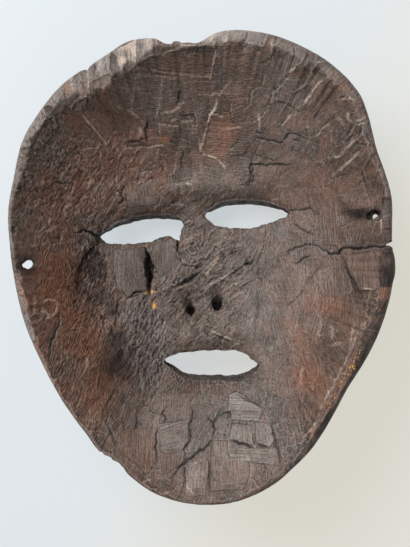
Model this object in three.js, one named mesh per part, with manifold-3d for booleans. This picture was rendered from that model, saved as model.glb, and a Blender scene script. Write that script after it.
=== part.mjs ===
// A carved wooden shaman mask, laid face down with its hollow side up.
// Millimetres, +Z up. +Y points to the crown, and +X is on the right as one looks into the hollow.
//
// The shell is worked out in the mask's own frame: its rim lies in the plane z = 0 and its face
// points down. Depths below are therefore counted downwards from the rim.
import * as THREE from 'three';
import Module from 'manifold-3d';

const wasm = await Module();
wasm.setup();

// Driving dimensions of the shell.
const CAVITY_DEPTH = 59; // rim plane to the plain floor of the hollow
const FACE_DEPTH = 74; // rim plane to the plain front of the face
const RIM_ROUND = 7; // the rim's widest line lies this far below its crest
const BOWL_POWER = 2.75; // 2 is a round bowl, more gives steeper side walls and a flatter floor
const BOWL_POWER_SIDES = 0.35; // the side walls are steeper than the brow and chin by this
const AXIS_X = -4.3; // the face's own middle line, left of the middle of the outline
const EVEN_OUT_STEP = 7; // degrees between the radii that are averaged to even out the outline

// The outline as [angle in degrees from +X, radius], with the dip and the chips of its edge.
const OUTLINE = [
  [1, 107.5], [12.5, 112.4], [21, 115.3], [28.5, 119.5], [37, 128.4], [41, 132.4], [50, 136.3],
  [58.5, 137.7], [67, 138.2], [75, 136.9], [79.5, 134.6], [85, 128.3], [92.5, 129.2], [95.5, 134.4],
  [101.5, 136], [108, 133.4], [119.5, 133.3], [129, 130.4], [138, 127.3], [148, 120.9], [156.5, 117.3],
  [166, 112.6], [177.5, 109.4], [190.5, 108.3], [203, 108.3], [216.5, 112.1], [226, 116.5], [233, 121.5],
  [238.5, 122.7], [243, 127], [250, 132.1], [258, 134.6], [265, 134.8], [271, 133.1], [279.5, 128.8],
  [286.5, 123.2], [291.5, 119.6], [301.5, 111.8], [310.5, 106.4], [316, 105.1], [327.5, 105],
  [337.5, 105.9], [349, 107.2],
];

// The width of the rim band as [angle in degrees, width]. It is worn wide at the upper left and
// nearly gone where the outline dips at the crown.
const RIM_WIDTH = [
  [1, 6.5], [8, 7], [16, 3.8], [30, 6], [45, 8], [67, 8.6], [77, 8], [82, 5], [88, 2.4], [93, 3],
  [99.5, 12], [107, 14], [116, 14.5], [122, 8], [130, 6], [141, 6.5], [151, 3.4], [165, 2.8],
  [180, 4.6], [190, 5], [203, 2.9], [227, 3.3], [245, 3], [270, 2.2], [283, 5], [290, 4.4], [297, 6.6],
  [303, 8.8], [314.5, 8.2], [325, 10.5], [342, 9.5], [352, 8.5],
];
const EVEN_RIM_WIDTH = 6; // the band's width as the hollow takes it, away from the edge

// Soft forms: centre, half-sizes and rise towards the viewer. These shape the hollow.
const HOLLOW_FORMS = {
  leftCheekTrough: { x: -72, y: -14, rx: 15, ry: 38, rise: -7 },
  blockUnderLeftEye: { x: -45, y: 5, rx: 14, ry: 15, rise: 3.5 },
  rightCheek: { x: 52, y: -8, rx: 20, ry: 26, rise: 1.5 },
  noseBridge: { x: -5, y: 22, rx: 11, ry: 15, rise: 2 },
  noseHollow: { x: -5, y: -20, rx: 17, ry: 13, rise: -5 },
  upperLip: { x: -6, y: -42, rx: 32, ry: 7, rise: 2.5 },
  mouthHollow: { x: -5, y: -61, rx: 38, ry: 11, rise: -5 },
  lowerLeftTrough: { x: -50, y: -56, rx: 16, ry: 20, rise: -5 },
  leftEyeHollow: { x: -38, y: 29, rx: 30, ry: 10, rise: -4.5 },
  rightEyeHollow: { x: 30, y: 30, rx: 28, ry: 10, rise: -4 },
  browLedge: { x: -5, y: 49, rx: 62, ry: 8, rise: 2 },
};

// The same for the front of the face, as [distance from the face's middle line, y, half-sizes,
// rise outwards]; each stands on both sides of the middle line.
const FACE_FORMS = {
  browPeak: { u: 40, y: 48, rx: 21, ry: 9, rise: 13 },
  browTail: { u: 64, y: 40, rx: 15, ry: 8, rise: 4 },
  eyeSocket: { u: 34, y: 28, rx: 25, ry: 12, rise: -3.5 },
  cheekbone: { u: 52, y: -6, rx: 19, ry: 17, rise: 6 },
  noseWing: { u: 12.5, y: -29, rx: 7, ry: 7.5, rise: 7 },
  mouthCorner: { u: 36, y: -62, rx: 8, ry: 9, rise: -2 },
  chin: { u: 0, y: -101, rx: 26, ry: 15, rise: 3.5 },
};
const NOSE = { rootY: 44, tipY: -32, baseY: -42, rootRise: 3, tipRise: 17, rootHalf: 8, tipHalf: 14 };
const EYELID = { u: 34, y: 29, rx: 31, ry: 11.5, width: 0.2, rise: 3 };
const LIPS = { u: 0, y: -59.5, rx: 33, ry: 13.5, width: 0.32, rise: 5.5 };

// The openings, as corner points of their clear outline. `lean` is how far the upper (positive)
// or lower (negative) wall leans back from the front edge to the inner one.
const LEFT_EYE = {
  points: [
    [-63.5, 28], [-56.5, 30.8], [-49.5, 33.6], [-42.5, 35.2], [-33, 35.7], [-22, 34.7], [-12, 32.4],
    [-10.6, 30], [-12.6, 24.6], [-14.7, 19.2], [-20, 22.8], [-28, 22.4], [-33, 20.5], [-43.5, 21],
    [-58.5, 23.2],
  ],
  lean: 3.6,
};
const RIGHT_EYE = {
  points: [
    [3.5, 34.2], [9.5, 36.2], [16, 37.8], [23, 38], [30, 37.2], [37, 35.8], [44, 33.3], [56, 27.7],
    [47.5, 23.4], [40, 22.3], [35.5, 21], [27.5, 21.8], [20.5, 22.8], [13.5, 24.4], [8, 27],
  ],
  lean: 3,
};
const MOUTH = {
  points: [
    [-34, -54], [-29, -51.7], [-23, -50.5], [-14.5, -50.8], [-5, -51.4], [5, -52.6], [12.5, -53.6],
    [18, -56.8], [24.7, -64.3], [20, -67], [14, -68.6], [8, -69], [-1, -67.3], [-11, -65.7],
    [-20, -64.2], [-28, -59],
  ],
  lean: -5.5,
};
const NOSTRILS = [
  { x: -13.8, y: -21.5, radius: 3.4 },
  { x: 3.9, y: -19.5, radius: 4 },
];
const NOSTRIL_ENTRY_Z = -58;
const NOSTRIL_RUN = new THREE.Vector3(0.06, -0.62, -1); // down and towards the chin
const LEFT_TIE_HOLE = { entry: [-100.4, 15.2, -2], exit: [-106, 15.8, -26], entryHalf: [3.6, 3.3], exitHalf: [3.2, 3.1] };
const RIGHT_TIE_HOLE = { entry: [96.5, 19, -4], exit: [105.6, 16.3, -27], entryHalf: [6.4, 3.4], exitHalf: [2.7, 2.7] };

// Splits in the wood, as centre points with a half-width at each, and the depth that each reaches.
const RIM_SPLIT = {
  path: [[114, -2.4, 3.6], [107.6, -0.9, 2.3], [104.6, -0.6, 1], [96.5, -1, 0.9], [90.5, -0.2, 0.7], [81, 1.4, 0.3]],
  top: 6,
  bottom: -36,
};
const GASH_UNDER_EYE = {
  path: [[-36.6, 24, 1.4], [-36.2, 15, 1.6], [-35, 9.5, 3.4], [-35.6, 3, 3], [-36.2, -3, 2], [-37.2, -9.5, 0.8]],
  top: -44,
  bottom: -63,
};

// How finely the shell is faceted. The rings lie closer together towards the middle of the face.
const SPOKES = 96;
const FACE_RINGS = 23;
const HOLLOW_RINGS = 17;
const RING_CROWDING = 0.2;

// How the mask lies: on its nose tip and brows, which brings the crown end low.
const REST_TILT = -8.5; // degrees about X
const REST_ROLL = -1.8; // degrees about Y
const FLAT_SPOT_TRIM = 1; // the depth of wood worn flat at the nose tip and brows it lies on

// A smooth closed curve through [angle, value] pairs, read at any angle in degrees.
function closedCurve(table) {
  const count = table.length;
  const pointAt = (i) => {
    const turn = Math.floor(i / count);
    const [angle, value] = table[i - turn * count];
    return [angle + 360 * turn, value];
  };
  return (degrees) => {
    let angle = ((degrees % 360) + 360) % 360;
    if (angle < table[0][0]) angle += 360;
    let i = count - 1;
    while (table[i][0] > angle) i -= 1;
    const [[a0, v0], [a1, v1], [a2, v2], [a3, v3]] = [i - 1, i, i + 1, i + 2].map(pointAt);
    const s = (angle - a1) / (a2 - a1);
    const m1 = ((v2 - v0) / (a2 - a0)) * (a2 - a1);
    const m2 = ((v3 - v1) / (a3 - a1)) * (a2 - a1);
    const s2 = s * s;
    const s3 = s2 * s;
    return (2 * s3 - 3 * s2 + 1) * v1 + (s3 - 2 * s2 + s) * m1 + (3 * s2 - 2 * s3) * v2 + (s3 - s2) * m2;
  };
}

const outlineRadius = closedCurve(OUTLINE);
const rimWidth = closedCurve(RIM_WIDTH);
const smooth = (s) => THREE.MathUtils.smoothstep(s, 0, 1);

// The outline without its dips and chips, which stay at the edge and don't run into the face.
function evenRadius(degrees) {
  const steps = [-3, -2, -1, 0, 1, 2, 3].map((step) => outlineRadius(degrees + step * EVEN_OUT_STEP));
  return steps.reduce((sum, radius) => sum + radius, 0) / steps.length;
}

// How far out a point lies, from 0 at the middle to 1 at the edge.
function shareOut(x, y, edgeRadius, evenEdgeRadius) {
  const radius = Math.hypot(x, y);
  const atEdge = radius / edgeRadius;
  const inside = radius / evenEdgeRadius;
  return Math.min(1, THREE.MathUtils.lerp(inside, atEdge, smooth((atEdge - 0.76) / 0.24)));
}

// A rounded hill of height 1 over an ellipse.
function hill(dx, dy, rx, ry) {
  return Math.exp(-((dx / rx) ** 2) - (dy / ry) ** 2);
}

// A ring of height 1 along an ellipse.
function ring(dx, dy, form) {
  const reach = Math.hypot(dx / form.rx, dy / form.ry);
  return Math.exp(-(((reach - 1) / form.width) ** 2));
}

// How deep the plain bowl is at a share of the way out to its edge.
function bowl(share, degrees) {
  const power = BOWL_POWER + BOWL_POWER_SIDES * Math.cos(THREE.MathUtils.degToRad(2 * degrees));
  return 1 - share ** power;
}

function hollowZ(x, y) {
  const degrees = THREE.MathUtils.radToDeg(Math.atan2(y, x));
  const innerEdge = outlineRadius(degrees) - rimWidth(degrees);
  const share = shareOut(x, y, innerEdge, evenRadius(degrees) - EVEN_RIM_WIDTH);
  const fade = smooth((1 - share) / 0.22);
  let rise = 0;
  for (const form of Object.values(HOLLOW_FORMS)) {
    rise += form.rise * hill(x - form.x, y - form.y, form.rx, form.ry);
  }
  return -CAVITY_DEPTH * bowl(share, degrees) + fade * rise;
}

// The nose: a wedge that widens and stands out from its root to its tip, cut back under the tip.
function noseRise(u, y) {
  const along = THREE.MathUtils.clamp((NOSE.rootY - y) / (NOSE.rootY - NOSE.tipY), 0, 1);
  const start = smooth((NOSE.rootY + 12 - y) / 16);
  const under = smooth((y - NOSE.baseY) / (NOSE.tipY - NOSE.baseY));
  const half = THREE.MathUtils.lerp(NOSE.rootHalf, NOSE.tipHalf, along);
  const height = THREE.MathUtils.lerp(NOSE.rootRise, NOSE.tipRise, along ** 1.4);
  return height * start * under * Math.exp(-(Math.abs(u / half) ** 2.4));
}

function faceZ(x, y) {
  const degrees = THREE.MathUtils.radToDeg(Math.atan2(y, x));
  const share = shareOut(x, y, outlineRadius(degrees), evenRadius(degrees));
  const fade = smooth((1 - share) / 0.2);
  const u = Math.abs(x - AXIS_X);
  let rise = noseRise(u, y);
  for (const form of Object.values(FACE_FORMS)) {
    rise += form.rise * hill(u - form.u, y - form.y, form.rx, form.ry);
  }
  rise += EYELID.rise * ring(u - EYELID.u, y - EYELID.y, EYELID);
  rise += LIPS.rise * ring(u - LIPS.u, y - LIPS.y, LIPS);
  return -RIM_ROUND - (FACE_DEPTH - RIM_ROUND) * bowl(share, degrees) - fade * rise;
}

// A closed solid from rings of equal length, each joined to the next, with a point at either end.
function ringedSolid(firstPole, rings, lastPole) {
  const spokes = rings[0].length;
  const points = [firstPole, ...rings.flat(), lastPole];
  const at = (ringIndex, spoke) => 1 + ringIndex * spokes + (spoke % spokes);
  const faces = [];
  for (let spoke = 0; spoke < spokes; spoke += 1) {
    faces.push(0, at(0, spoke), at(0, spoke + 1));
    faces.push(points.length - 1, at(rings.length - 1, spoke + 1), at(rings.length - 1, spoke));
    for (let i = 0; i + 1 < rings.length; i += 1) {
      faces.push(at(i, spoke), at(i + 1, spoke), at(i + 1, spoke + 1));
      faces.push(at(i, spoke), at(i + 1, spoke + 1), at(i, spoke + 1));
    }
  }
  return toSolid(points.flat(), faces);
}

function toSolid(positions, faces) {
  return new wasm.Manifold(
    new wasm.Mesh({
      numProp: 3,
      vertProperties: new Float32Array(positions),
      triVerts: new Uint32Array(faces),
    }),
  );
}

// The shell: out over the hollow from its middle, round the rim and back over the face.
function makeShell() {
  const spokeAngles = Array.from({ length: SPOKES }, (_, i) => (360 * i) / SPOKES);
  const onSpokes = (radiusAt, heightAt) =>
    spokeAngles.map((degrees) => {
      const radius = radiusAt(degrees);
      const angle = THREE.MathUtils.degToRad(degrees);
      const x = radius * Math.cos(angle);
      const y = radius * Math.sin(angle);
      return [x, y, heightAt(x, y)];
    });
  const innerEdge = (degrees) => outlineRadius(degrees) - rimWidth(degrees);
  const crowded = (s) => s * (1 - RING_CROWDING + RING_CROWDING * s * s);
  const rings = [];
  for (let i = 1; i <= HOLLOW_RINGS; i += 1) {
    rings.push(onSpokes((degrees) => innerEdge(degrees) * crowded(i / HOLLOW_RINGS), hollowZ));
  }
  rings.push(onSpokes((degrees) => outlineRadius(degrees) - 0.5 * rimWidth(degrees), () => 0));
  rings.push(onSpokes((degrees) => outlineRadius(degrees) - 0.16 * rimWidth(degrees), () => -0.3 * RIM_ROUND));
  for (let i = FACE_RINGS; i >= 1; i -= 1) {
    rings.push(onSpokes((degrees) => outlineRadius(degrees) * crowded(i / FACE_RINGS), faceZ));
  }
  return ringedSolid([0, 0, hollowZ(0, 0)], rings, [0, 0, faceZ(0, 0)]);
}

// A closed solid between an upper and a lower loop of points, both anticlockwise from above.
function prism(upper, lower) {
  const count = upper.length;
  const caps = THREE.ShapeUtils.triangulateShape(upper.map(([x, y]) => new THREE.Vector2(x, y)), []);
  const faces = caps.flat();
  caps.forEach(([a, b, c]) => faces.push(count + a, count + c, count + b));
  for (let i = 0; i < count; i += 1) {
    const next = (i + 1) % count;
    faces.push(i, count + i, count + next, i, count + next, next);
  }
  return toSolid([...upper, ...lower].flat(), faces);
}

// The cut for an eye or the mouth. Its clear outline is kept through the front of the face, and the
// leaning wall opens it towards the hollow, least at the corners.
function slotCut({ points, lean }) {
  const xs = points.map(([x]) => x);
  const [left, right] = [points[xs.indexOf(Math.min(...xs))], points[xs.indexOf(Math.max(...xs))]];
  const offMiddle = ([x, y]) => {
    const s = (x - left[0]) / (right[0] - left[0]);
    return (y - THREE.MathUtils.lerp(left[1], right[1], s)) * Math.sign(lean);
  };
  const furthest = Math.max(...points.map(offMiddle));
  const [middleX, middleY] = [(left[0] + right[0]) / 2, (left[1] + right[1]) / 2];
  const [frontZ, innerZ] = [faceZ(middleX, middleY), hollowZ(middleX, middleY)];
  const loop = (z, leanShare) =>
    points
      .map(([x, y]) => [x, y + lean * leanShare * smooth(offMiddle([x, y]) / (0.7 * furthest)), z])
      .reverse();
  const levels = [[innerZ + 30, 1.15], [innerZ, 1], [frontZ, 0], [frontZ - 30, 0]].map(([z, share]) => loop(z, share));
  return levels
    .slice(1)
    .map((lower, i) => prism(levels[i], lower))
    .reduce((cut, stretch) => cut.add(stretch));
}

// A tapering hole between two ellipses.
function taperedCut({ entry, exit, entryHalf, exitHalf }, sides = 14) {
  const loop = ([x, y, z], [rx, ry]) =>
    Array.from({ length: sides }, (_, i) => {
      const angle = (2 * Math.PI * i) / sides;
      return [x + rx * Math.cos(angle), y + ry * Math.sin(angle), z];
    });
  return prism(loop(entry, entryHalf), loop(exit, exitHalf));
}

function nostrilCut({ x, y, radius }) {
  const along = (z) => NOSTRIL_RUN.clone().multiplyScalar((NOSTRIL_ENTRY_Z - z) / -NOSTRIL_RUN.z);
  const at = (z) => new THREE.Vector3(x, y, NOSTRIL_ENTRY_Z).add(along(z)).toArray();
  const [top, bottom] = [NOSTRIL_ENTRY_Z + 8, NOSTRIL_ENTRY_Z - 44];
  const round = [radius, radius * 1.25];
  return taperedCut({ entry: at(top), exit: at(bottom), entryHalf: round.map((r) => r + 1.4), exitHalf: round }, 12);
}

// A split: a narrow blade along a path.
function splitCut({ path, top, bottom }) {
  const side = (sign, z) => path.map(([x, y, half], i) => {
    const [before, after] = [path[Math.max(0, i - 1)], path[Math.min(path.length - 1, i + 1)]];
    const run = new THREE.Vector2(after[0] - before[0], after[1] - before[1]).normalize();
    return [x - sign * run.y * half, y + sign * run.x * half, z];
  });
  const loop = (z) => [...side(-1, z), ...side(1, z).reverse()];
  return prism(loop(top), loop(bottom));
}

function makeCarving() {
  let carving = makeShell();
  const cuts = [
    ...[LEFT_EYE, RIGHT_EYE, MOUTH].map(slotCut),
    ...NOSTRILS.map(nostrilCut),
    ...[LEFT_TIE_HOLE, RIGHT_TIE_HOLE].map((hole) => taperedCut(hole)),
    ...[RIM_SPLIT, GASH_UNDER_EYE].map(splitCut),
  ];
  for (const cut of cuts) carving = carving.subtract(cut);
  return carving;
}

// Lays the carving on its brows and nose tip, with a flat spot on each, over the middle of the floor.
function layDown(carving) {
  const [tilt, roll] = [REST_TILT, REST_ROLL].map(THREE.MathUtils.degToRad);
  const turn = new THREE.Matrix4().makeRotationY(roll).premultiply(new THREE.Matrix4().makeRotationX(tilt));
  const turned = carving.transform(turn.toArray());
  const { min, max } = turned.boundingBox();
  const floorZ = min[2] + FLAT_SPOT_TRIM;
  const [x0, x1, y0, y1] = [min[0] - 10, max[0] + 10, min[1] - 10, max[1] + 10];
  const plate = (z) => [[x0, y0, z], [x1, y0, z], [x1, y1, z], [x0, y1, z]];
  const flattened = turned.subtract(prism(plate(floorZ), plate(floorZ - 20)));
  return flattened.translate([-(min[0] + max[0]) / 2, -(min[1] + max[1]) / 2, -floorZ]);
}

function toGeometry(solid) {
  const mesh = solid.getMesh();
  const geometry = new THREE.BufferGeometry();
  geometry.setAttribute('position', new THREE.BufferAttribute(mesh.vertProperties, 3));
  geometry.setIndex(new THREE.BufferAttribute(mesh.triVerts, 1));
  geometry.computeVertexNormals();
  return geometry;
}

const agedWood = new THREE.MeshStandardMaterial({ color: 0x4b3930, roughness: 0.6, metalness: 0 });
const mask = new THREE.Mesh(toGeometry(layDown(makeCarving())), agedWood);
mask.name = 'mask';

const part = new THREE.Group();
part.add(mask);

export default part;
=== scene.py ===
"""The looks of an old carved shaman mask, lying face down with its hollow side up.

Lengths in the shape section are millimetres in the mask's own frame: its rim lies in the plane
z = 0 and its face points down, +Y goes to the crown and +X to the right as one looks into the
hollow. to_room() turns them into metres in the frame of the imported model.
"""
import math

import bpy
import numpy as np
from mathutils import Matrix, Vector
from mathutils.geometry import delaunay_2d_cdt
from mathutils.kdtree import KDTree


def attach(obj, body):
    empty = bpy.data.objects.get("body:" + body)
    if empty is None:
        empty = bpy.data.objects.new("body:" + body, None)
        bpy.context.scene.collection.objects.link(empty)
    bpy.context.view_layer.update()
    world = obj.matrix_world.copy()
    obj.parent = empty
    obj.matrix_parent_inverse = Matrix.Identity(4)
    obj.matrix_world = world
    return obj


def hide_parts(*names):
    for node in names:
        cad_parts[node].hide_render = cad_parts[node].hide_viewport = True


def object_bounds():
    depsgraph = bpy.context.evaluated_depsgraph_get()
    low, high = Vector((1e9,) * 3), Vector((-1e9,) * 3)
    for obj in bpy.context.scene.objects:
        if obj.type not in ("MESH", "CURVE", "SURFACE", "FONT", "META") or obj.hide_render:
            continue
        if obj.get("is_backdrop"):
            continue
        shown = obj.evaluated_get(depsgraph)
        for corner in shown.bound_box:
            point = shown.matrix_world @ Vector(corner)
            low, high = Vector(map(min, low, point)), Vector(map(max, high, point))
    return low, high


bl_info = {
    "name": "Shaman Mask",
    "version": (1, 0, 0),
    "blender": (4, 5, 0),
    "location": "3D View > Sidebar > Shaman Mask",
    "description": "Carves and finishes an old wooden shaman mask around its packed model",
    "category": "Object",
}

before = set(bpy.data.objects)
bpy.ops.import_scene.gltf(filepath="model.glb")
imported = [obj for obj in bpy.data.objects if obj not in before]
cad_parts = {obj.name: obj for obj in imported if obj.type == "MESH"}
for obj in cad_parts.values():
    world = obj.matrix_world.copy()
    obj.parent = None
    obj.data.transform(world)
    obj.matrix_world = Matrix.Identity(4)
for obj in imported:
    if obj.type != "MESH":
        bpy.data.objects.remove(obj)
CAD_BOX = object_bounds()

# The shell, as its solid has it: how far the hollow and the face lie below the rim, the radius of
# the rim's round, and how full the bowl is, all round and more so at the sides.
CAVITY_DEPTH = 59.0
FACE_DEPTH = 74.0
RIM_ROUND = 7.0
BOWL_POWER = 2.75
BOWL_POWER_SIDES = 0.35
# The middle line of the face.
AXIS_X = -4.3
# The bowl follows an evened outline, the mean over this many steps of degrees to either side, and
# an even rim. The outline's own dips and chips begin this far out.
EVEN_OUT_STEP = 7.0
EVEN_OUT_STEPS = 3
EVEN_RIM_WIDTH = 6.0
DIPS_FROM = 0.76
# The outline's radius and the rim's width, each at an angle in degrees from +X.
OUTLINE = (
    (1, 107.5), (12.5, 112.4), (21, 115.3), (28.5, 119.5), (37, 128.4), (41, 132.4), (50, 136.3),
    (58.5, 137.7), (67, 138.2), (75, 136.9), (79.5, 134.6), (85, 128.3), (92.5, 129.2), (95.5, 134.4),
    (101.5, 136), (108, 133.4), (119.5, 133.3), (129, 130.4), (138, 127.3), (148, 120.9),
    (156.5, 117.3), (166, 112.6), (177.5, 109.4), (190.5, 108.3), (203, 108.3), (216.5, 112.1),
    (226, 116.5), (233, 121.5), (238.5, 122.7), (243, 127), (250, 132.1), (258, 134.6), (265, 134.8),
    (271, 133.1), (279.5, 128.8), (286.5, 123.2), (291.5, 119.6), (301.5, 111.8), (310.5, 106.4),
    (316, 105.1), (327.5, 105), (337.5, 105.9), (349, 107.2),
)
RIM_WIDTH = (
    (1, 6.5), (8, 7), (16, 3.8), (30, 6), (45, 8), (67, 8.6), (77, 8), (82, 5), (88, 2.4), (93, 3),
    (99.5, 12), (107, 14), (116, 14.5), (122, 8), (130, 6), (141, 6.5), (151, 3.4), (165, 2.8),
    (180, 4.6), (190, 5), (203, 2.9), (227, 3.3), (245, 3), (270, 2.2), (283, 5), (290, 4.4),
    (297, 6.6), (303, 8.8), (314.5, 8.2), (325, 10.5), (342, 9.5), (352, 8.5),
)
# Soft forms of the hollow: centre, half-sizes and rise towards the viewer.
HOLLOW_FORMS = (
    (-72, -14, 15, 38, -7),  # trough of the left cheek
    (-45, 5, 14, 15, 3.5),  # block under the left eye
    (52, -8, 20, 26, 1.5),  # right cheek
    (-5, 22, 11, 15, 2),  # bridge of the nose
    (-5, -20, 17, 13, -5),  # hollow of the nose
    (-6, -42, 32, 7, 2.5),  # upper lip
    (-5, -61, 38, 11, -5),  # hollow of the mouth
    (-50, -56, 16, 20, -5),  # trough beside the mouth
    (-38, 29, 30, 10, -4.5),  # left eye
    (30, 30, 28, 10, -4),  # right eye
    (-5, 49, 62, 8, 2),  # ledge of the brow
)
# Forms of the face on both sides of its middle line: distance from it, y, half-sizes, rise outwards.
FACE_FORMS = (
    (40, 48, 21, 9, 13),  # peak of the brow
    (64, 40, 15, 8, 4),  # tail of the brow
    (34, 28, 25, 12, -3.5),  # eye socket
    (52, -6, 19, 17, 6),  # cheekbone
    (12.5, -29, 7, 7.5, 7),  # wing of the nose
    (36, -62, 8, 9, -2),  # corner of the mouth
    (0, -101, 26, 15, 3.5),  # chin
)
# The nose: where its root, tip and base lie, how far it rises and half its width.
NOSE_ROOT_Y, NOSE_TIP_Y, NOSE_BASE_Y = 44.0, -32.0, -42.0
NOSE_ROOT_RISE, NOSE_TIP_RISE = 3.0, 17.0
NOSE_ROOT_HALF, NOSE_TIP_HALF = 8.0, 14.0
# Rings of the face: centre, half-sizes, relative width and rise.
EYELID = (34, 29, 31, 11.5, 0.2, 3)
LIPS = (0, -59.5, 33, 13.5, 0.32, 5.5)

# The openings: corner points of the clear outline, and how far one wall leans back.
LEFT_EYE = (
    (
        (-63.5, 28), (-56.5, 30.8), (-49.5, 33.6), (-42.5, 35.2), (-33, 35.7), (-22, 34.7),
        (-12, 32.4), (-10.6, 30), (-12.6, 24.6), (-14.7, 19.2), (-20, 22.8), (-28, 22.4),
        (-33, 20.5), (-43.5, 21), (-58.5, 23.2),
    ),
    1.9,
)
RIGHT_EYE = (
    (
        (3.5, 34.2), (9.5, 36.2), (16, 37.8), (23, 38), (30, 37.2), (37, 35.8), (44, 33.3),
        (56, 27.7), (47.5, 23.4), (40, 22.3), (35.5, 21), (27.5, 21.8), (20.5, 22.8), (13.5, 24.4),
        (8, 27),
    ),
    1.8,
)
MOUTH = (
    (
        (-34, -54), (-29, -51.7), (-23, -50.5), (-14.5, -50.8), (-5, -51.4), (5, -52.6),
        (12.5, -53.6), (18, -56.8), (24.7, -64.3), (20, -67), (14, -68.6), (8, -69), (-1, -67.3),
        (-11, -65.7), (-20, -64.2), (-28, -59),
    ),
    -2.4,
)
# Nostrils: centre and half-sizes at this height, and how far they run to the side and to the chin
# for each millimetre down.
NOSTRILS = ((-13.6, -22.7, 2.3, 3.8), (4.0, -21.3, 3.0, 4.4))
NOSTRIL_ENTRY_Z = -58.0
NOSTRIL_RUN = (0.06, -0.62)
# Tie holes: centre where they enter and leave the wood, and their half-sizes there.
TIE_HOLES = (
    ((-99.9, 15.0, -2), (-105.2, 15.6, -26), (3.5, 2.9), (3.0, 2.4)),
    ((95.5, 18.2, -4), (103.2, 16.2, -23.5), (6.6, 3.0), (0.55, 1.2)),
)
# The split through the right rim: centre points and half-widths, from the rim inwards.
RIM_SPLIT = ((107.6, -0.9, 2.2), (104.6, -0.6, 0.95), (102.5, -0.8, 0.5))

# How the mask lies: on its nose tip and brows, each with a flat spot.
REST_TILT = math.radians(-8.5)
REST_ROLL = math.radians(-1.8)
FLAT_SPOT_TRIM = 1.0

# The camera looks along the mask's own axis. In the picture the mask leans to the left.
VIEW_CENTRE = (-1.1, -3.3)
VIEW_DISTANCE = 520.0
VIEW_HEIGHT = 309.2
VIEW_LEAN = math.radians(7.5)
# The camera's sensor is 36 mm wide. The floor's half-width is in metres.
SENSOR = 36.0
FLOOR_HALF = 4.0
# The large lamp: its place in the mask's own frame, and its width and where it points in metres.
KEY_PLACE = (-420, 560, 820)
KEY_SIZE = 0.7
KEY_AIM = (0, 0, 0.05)
# The mesh must have fewer faces than this.
MOST_FACES = 199000
# A grid of points reaches this far from the middle along X and Y, and keeps this far inside the
# outline in the hollow and on the face.
GRID_REACH = (118, 142)
HOLLOW_MARGIN, FACE_MARGIN = 1.6, 1.0
# Rows of points this far inside the outline, which stop at the split.
RIM_ROWS = (0.5, 1.15)
RIM_ROW_ENDS = (2.2, 356.8)
# Heights at which the walls of the openings are tried, every quarter millimetre.
WALL_HEIGHTS = np.linspace(8, -100, 433)
# The walls round the outline and in the openings: rows of faces, and how dark they are painted
# below their top edge, which in the openings is painted shade. The openings are the eyes, the mouth,
# the nostrils and the tie holes.
OUTLINE_ROWS, OPENING_ROWS = 6, 9
OUTLINE_DARKENING = 0.3
OPENING_SHADE = (0.85, 0.8, 0.7, 1.0, 1.0, 0.95, 1.0)
# Spacing of the points along a crack or scratch, and along the edge of a flat cut.
LINE_STEP, EDGE_STEP = 0.8, 0.9
# The random turns of the placed lines and of the ledges start at these numbers.
FIRST_LINE, FIRST_LEDGE = 120, 60
# Further than anything on the mask.
FAR = 1e9


def closed_curve(table):
    """A smooth closed curve through (degrees, value) pairs, as a function of an array of angles."""
    angle, value = np.array(table, float).T
    angle = np.concatenate([angle[-2:] - 360, angle, angle[:3] + 360])
    value = np.concatenate([value[-2:], value, value[:3]])
    slope = np.zeros_like(value)
    slope[1:-1] = (value[2:] - value[:-2]) / (angle[2:] - angle[:-2])

    def read(degrees):
        wrapped = np.mod(degrees - table[0][0], 360) + table[0][0]
        i = np.searchsorted(angle, wrapped, side="right") - 1
        gap = angle[i + 1] - angle[i]
        s = (wrapped - angle[i]) / gap
        return (
            (2 * s**3 - 3 * s**2 + 1) * value[i]
            + (s**3 - 2 * s**2 + s) * slope[i] * gap
            + (3 * s**2 - 2 * s**3) * value[i + 1]
            + (s**3 - s**2) * slope[i + 1] * gap
        )

    return read


outline_radius = closed_curve(OUTLINE)
rim_width = closed_curve(RIM_WIDTH)


def smooth(s):
    """Runs from 0 to 1 without a corner at either end."""
    s = np.clip(s, 0, 1)
    return s * s * (3 - 2 * s)


def hill(x, y, form):
    """A rounded hill: centre, half-sizes and height."""
    cx, cy, rx, ry, rise = form
    return rise * np.exp(-(((x - cx) / rx) ** 2) - ((y - cy) / ry) ** 2)


def ring(x, y, form):
    """A rounded ring along an ellipse: centre, half-sizes, relative width and height."""
    cx, cy, rx, ry, width, rise = form
    reach = np.hypot((x - cx) / rx, (y - cy) / ry)
    return rise * np.exp(-(((reach - 1) / width) ** 2))


def even_radius(degrees):
    """The outline without its dips and chips, which stay at the edge."""
    steps = range(-EVEN_OUT_STEPS, EVEN_OUT_STEPS + 1)
    return sum(outline_radius(degrees + step * EVEN_OUT_STEP) for step in steps) / len(steps)


def polar(x, y):
    """The distance from the middle, and the angle in degrees."""
    return np.hypot(x, y), np.degrees(np.arctan2(y, x))


def around(radius, degrees):
    """Points at some distances from the middle, at some angles."""
    turn = np.radians(degrees)
    return np.column_stack([radius * np.cos(turn), radius * np.sin(turn)])


def share_out(radius, edge_radius, even_edge_radius):
    """How far out a point lies, from 0 at the middle to 1 at the edge."""
    at_edge = radius / edge_radius
    inside = radius / even_edge_radius
    return np.minimum(1, inside + (at_edge - inside) * smooth((at_edge - DIPS_FROM) / (1 - DIPS_FROM)))


def bowl(share, degrees):
    """How deep the bowl is, from 1 at the middle to 0 at the edge."""
    power = BOWL_POWER + BOWL_POWER_SIDES * np.cos(np.radians(2 * degrees))
    return 1 - share**power


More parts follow.
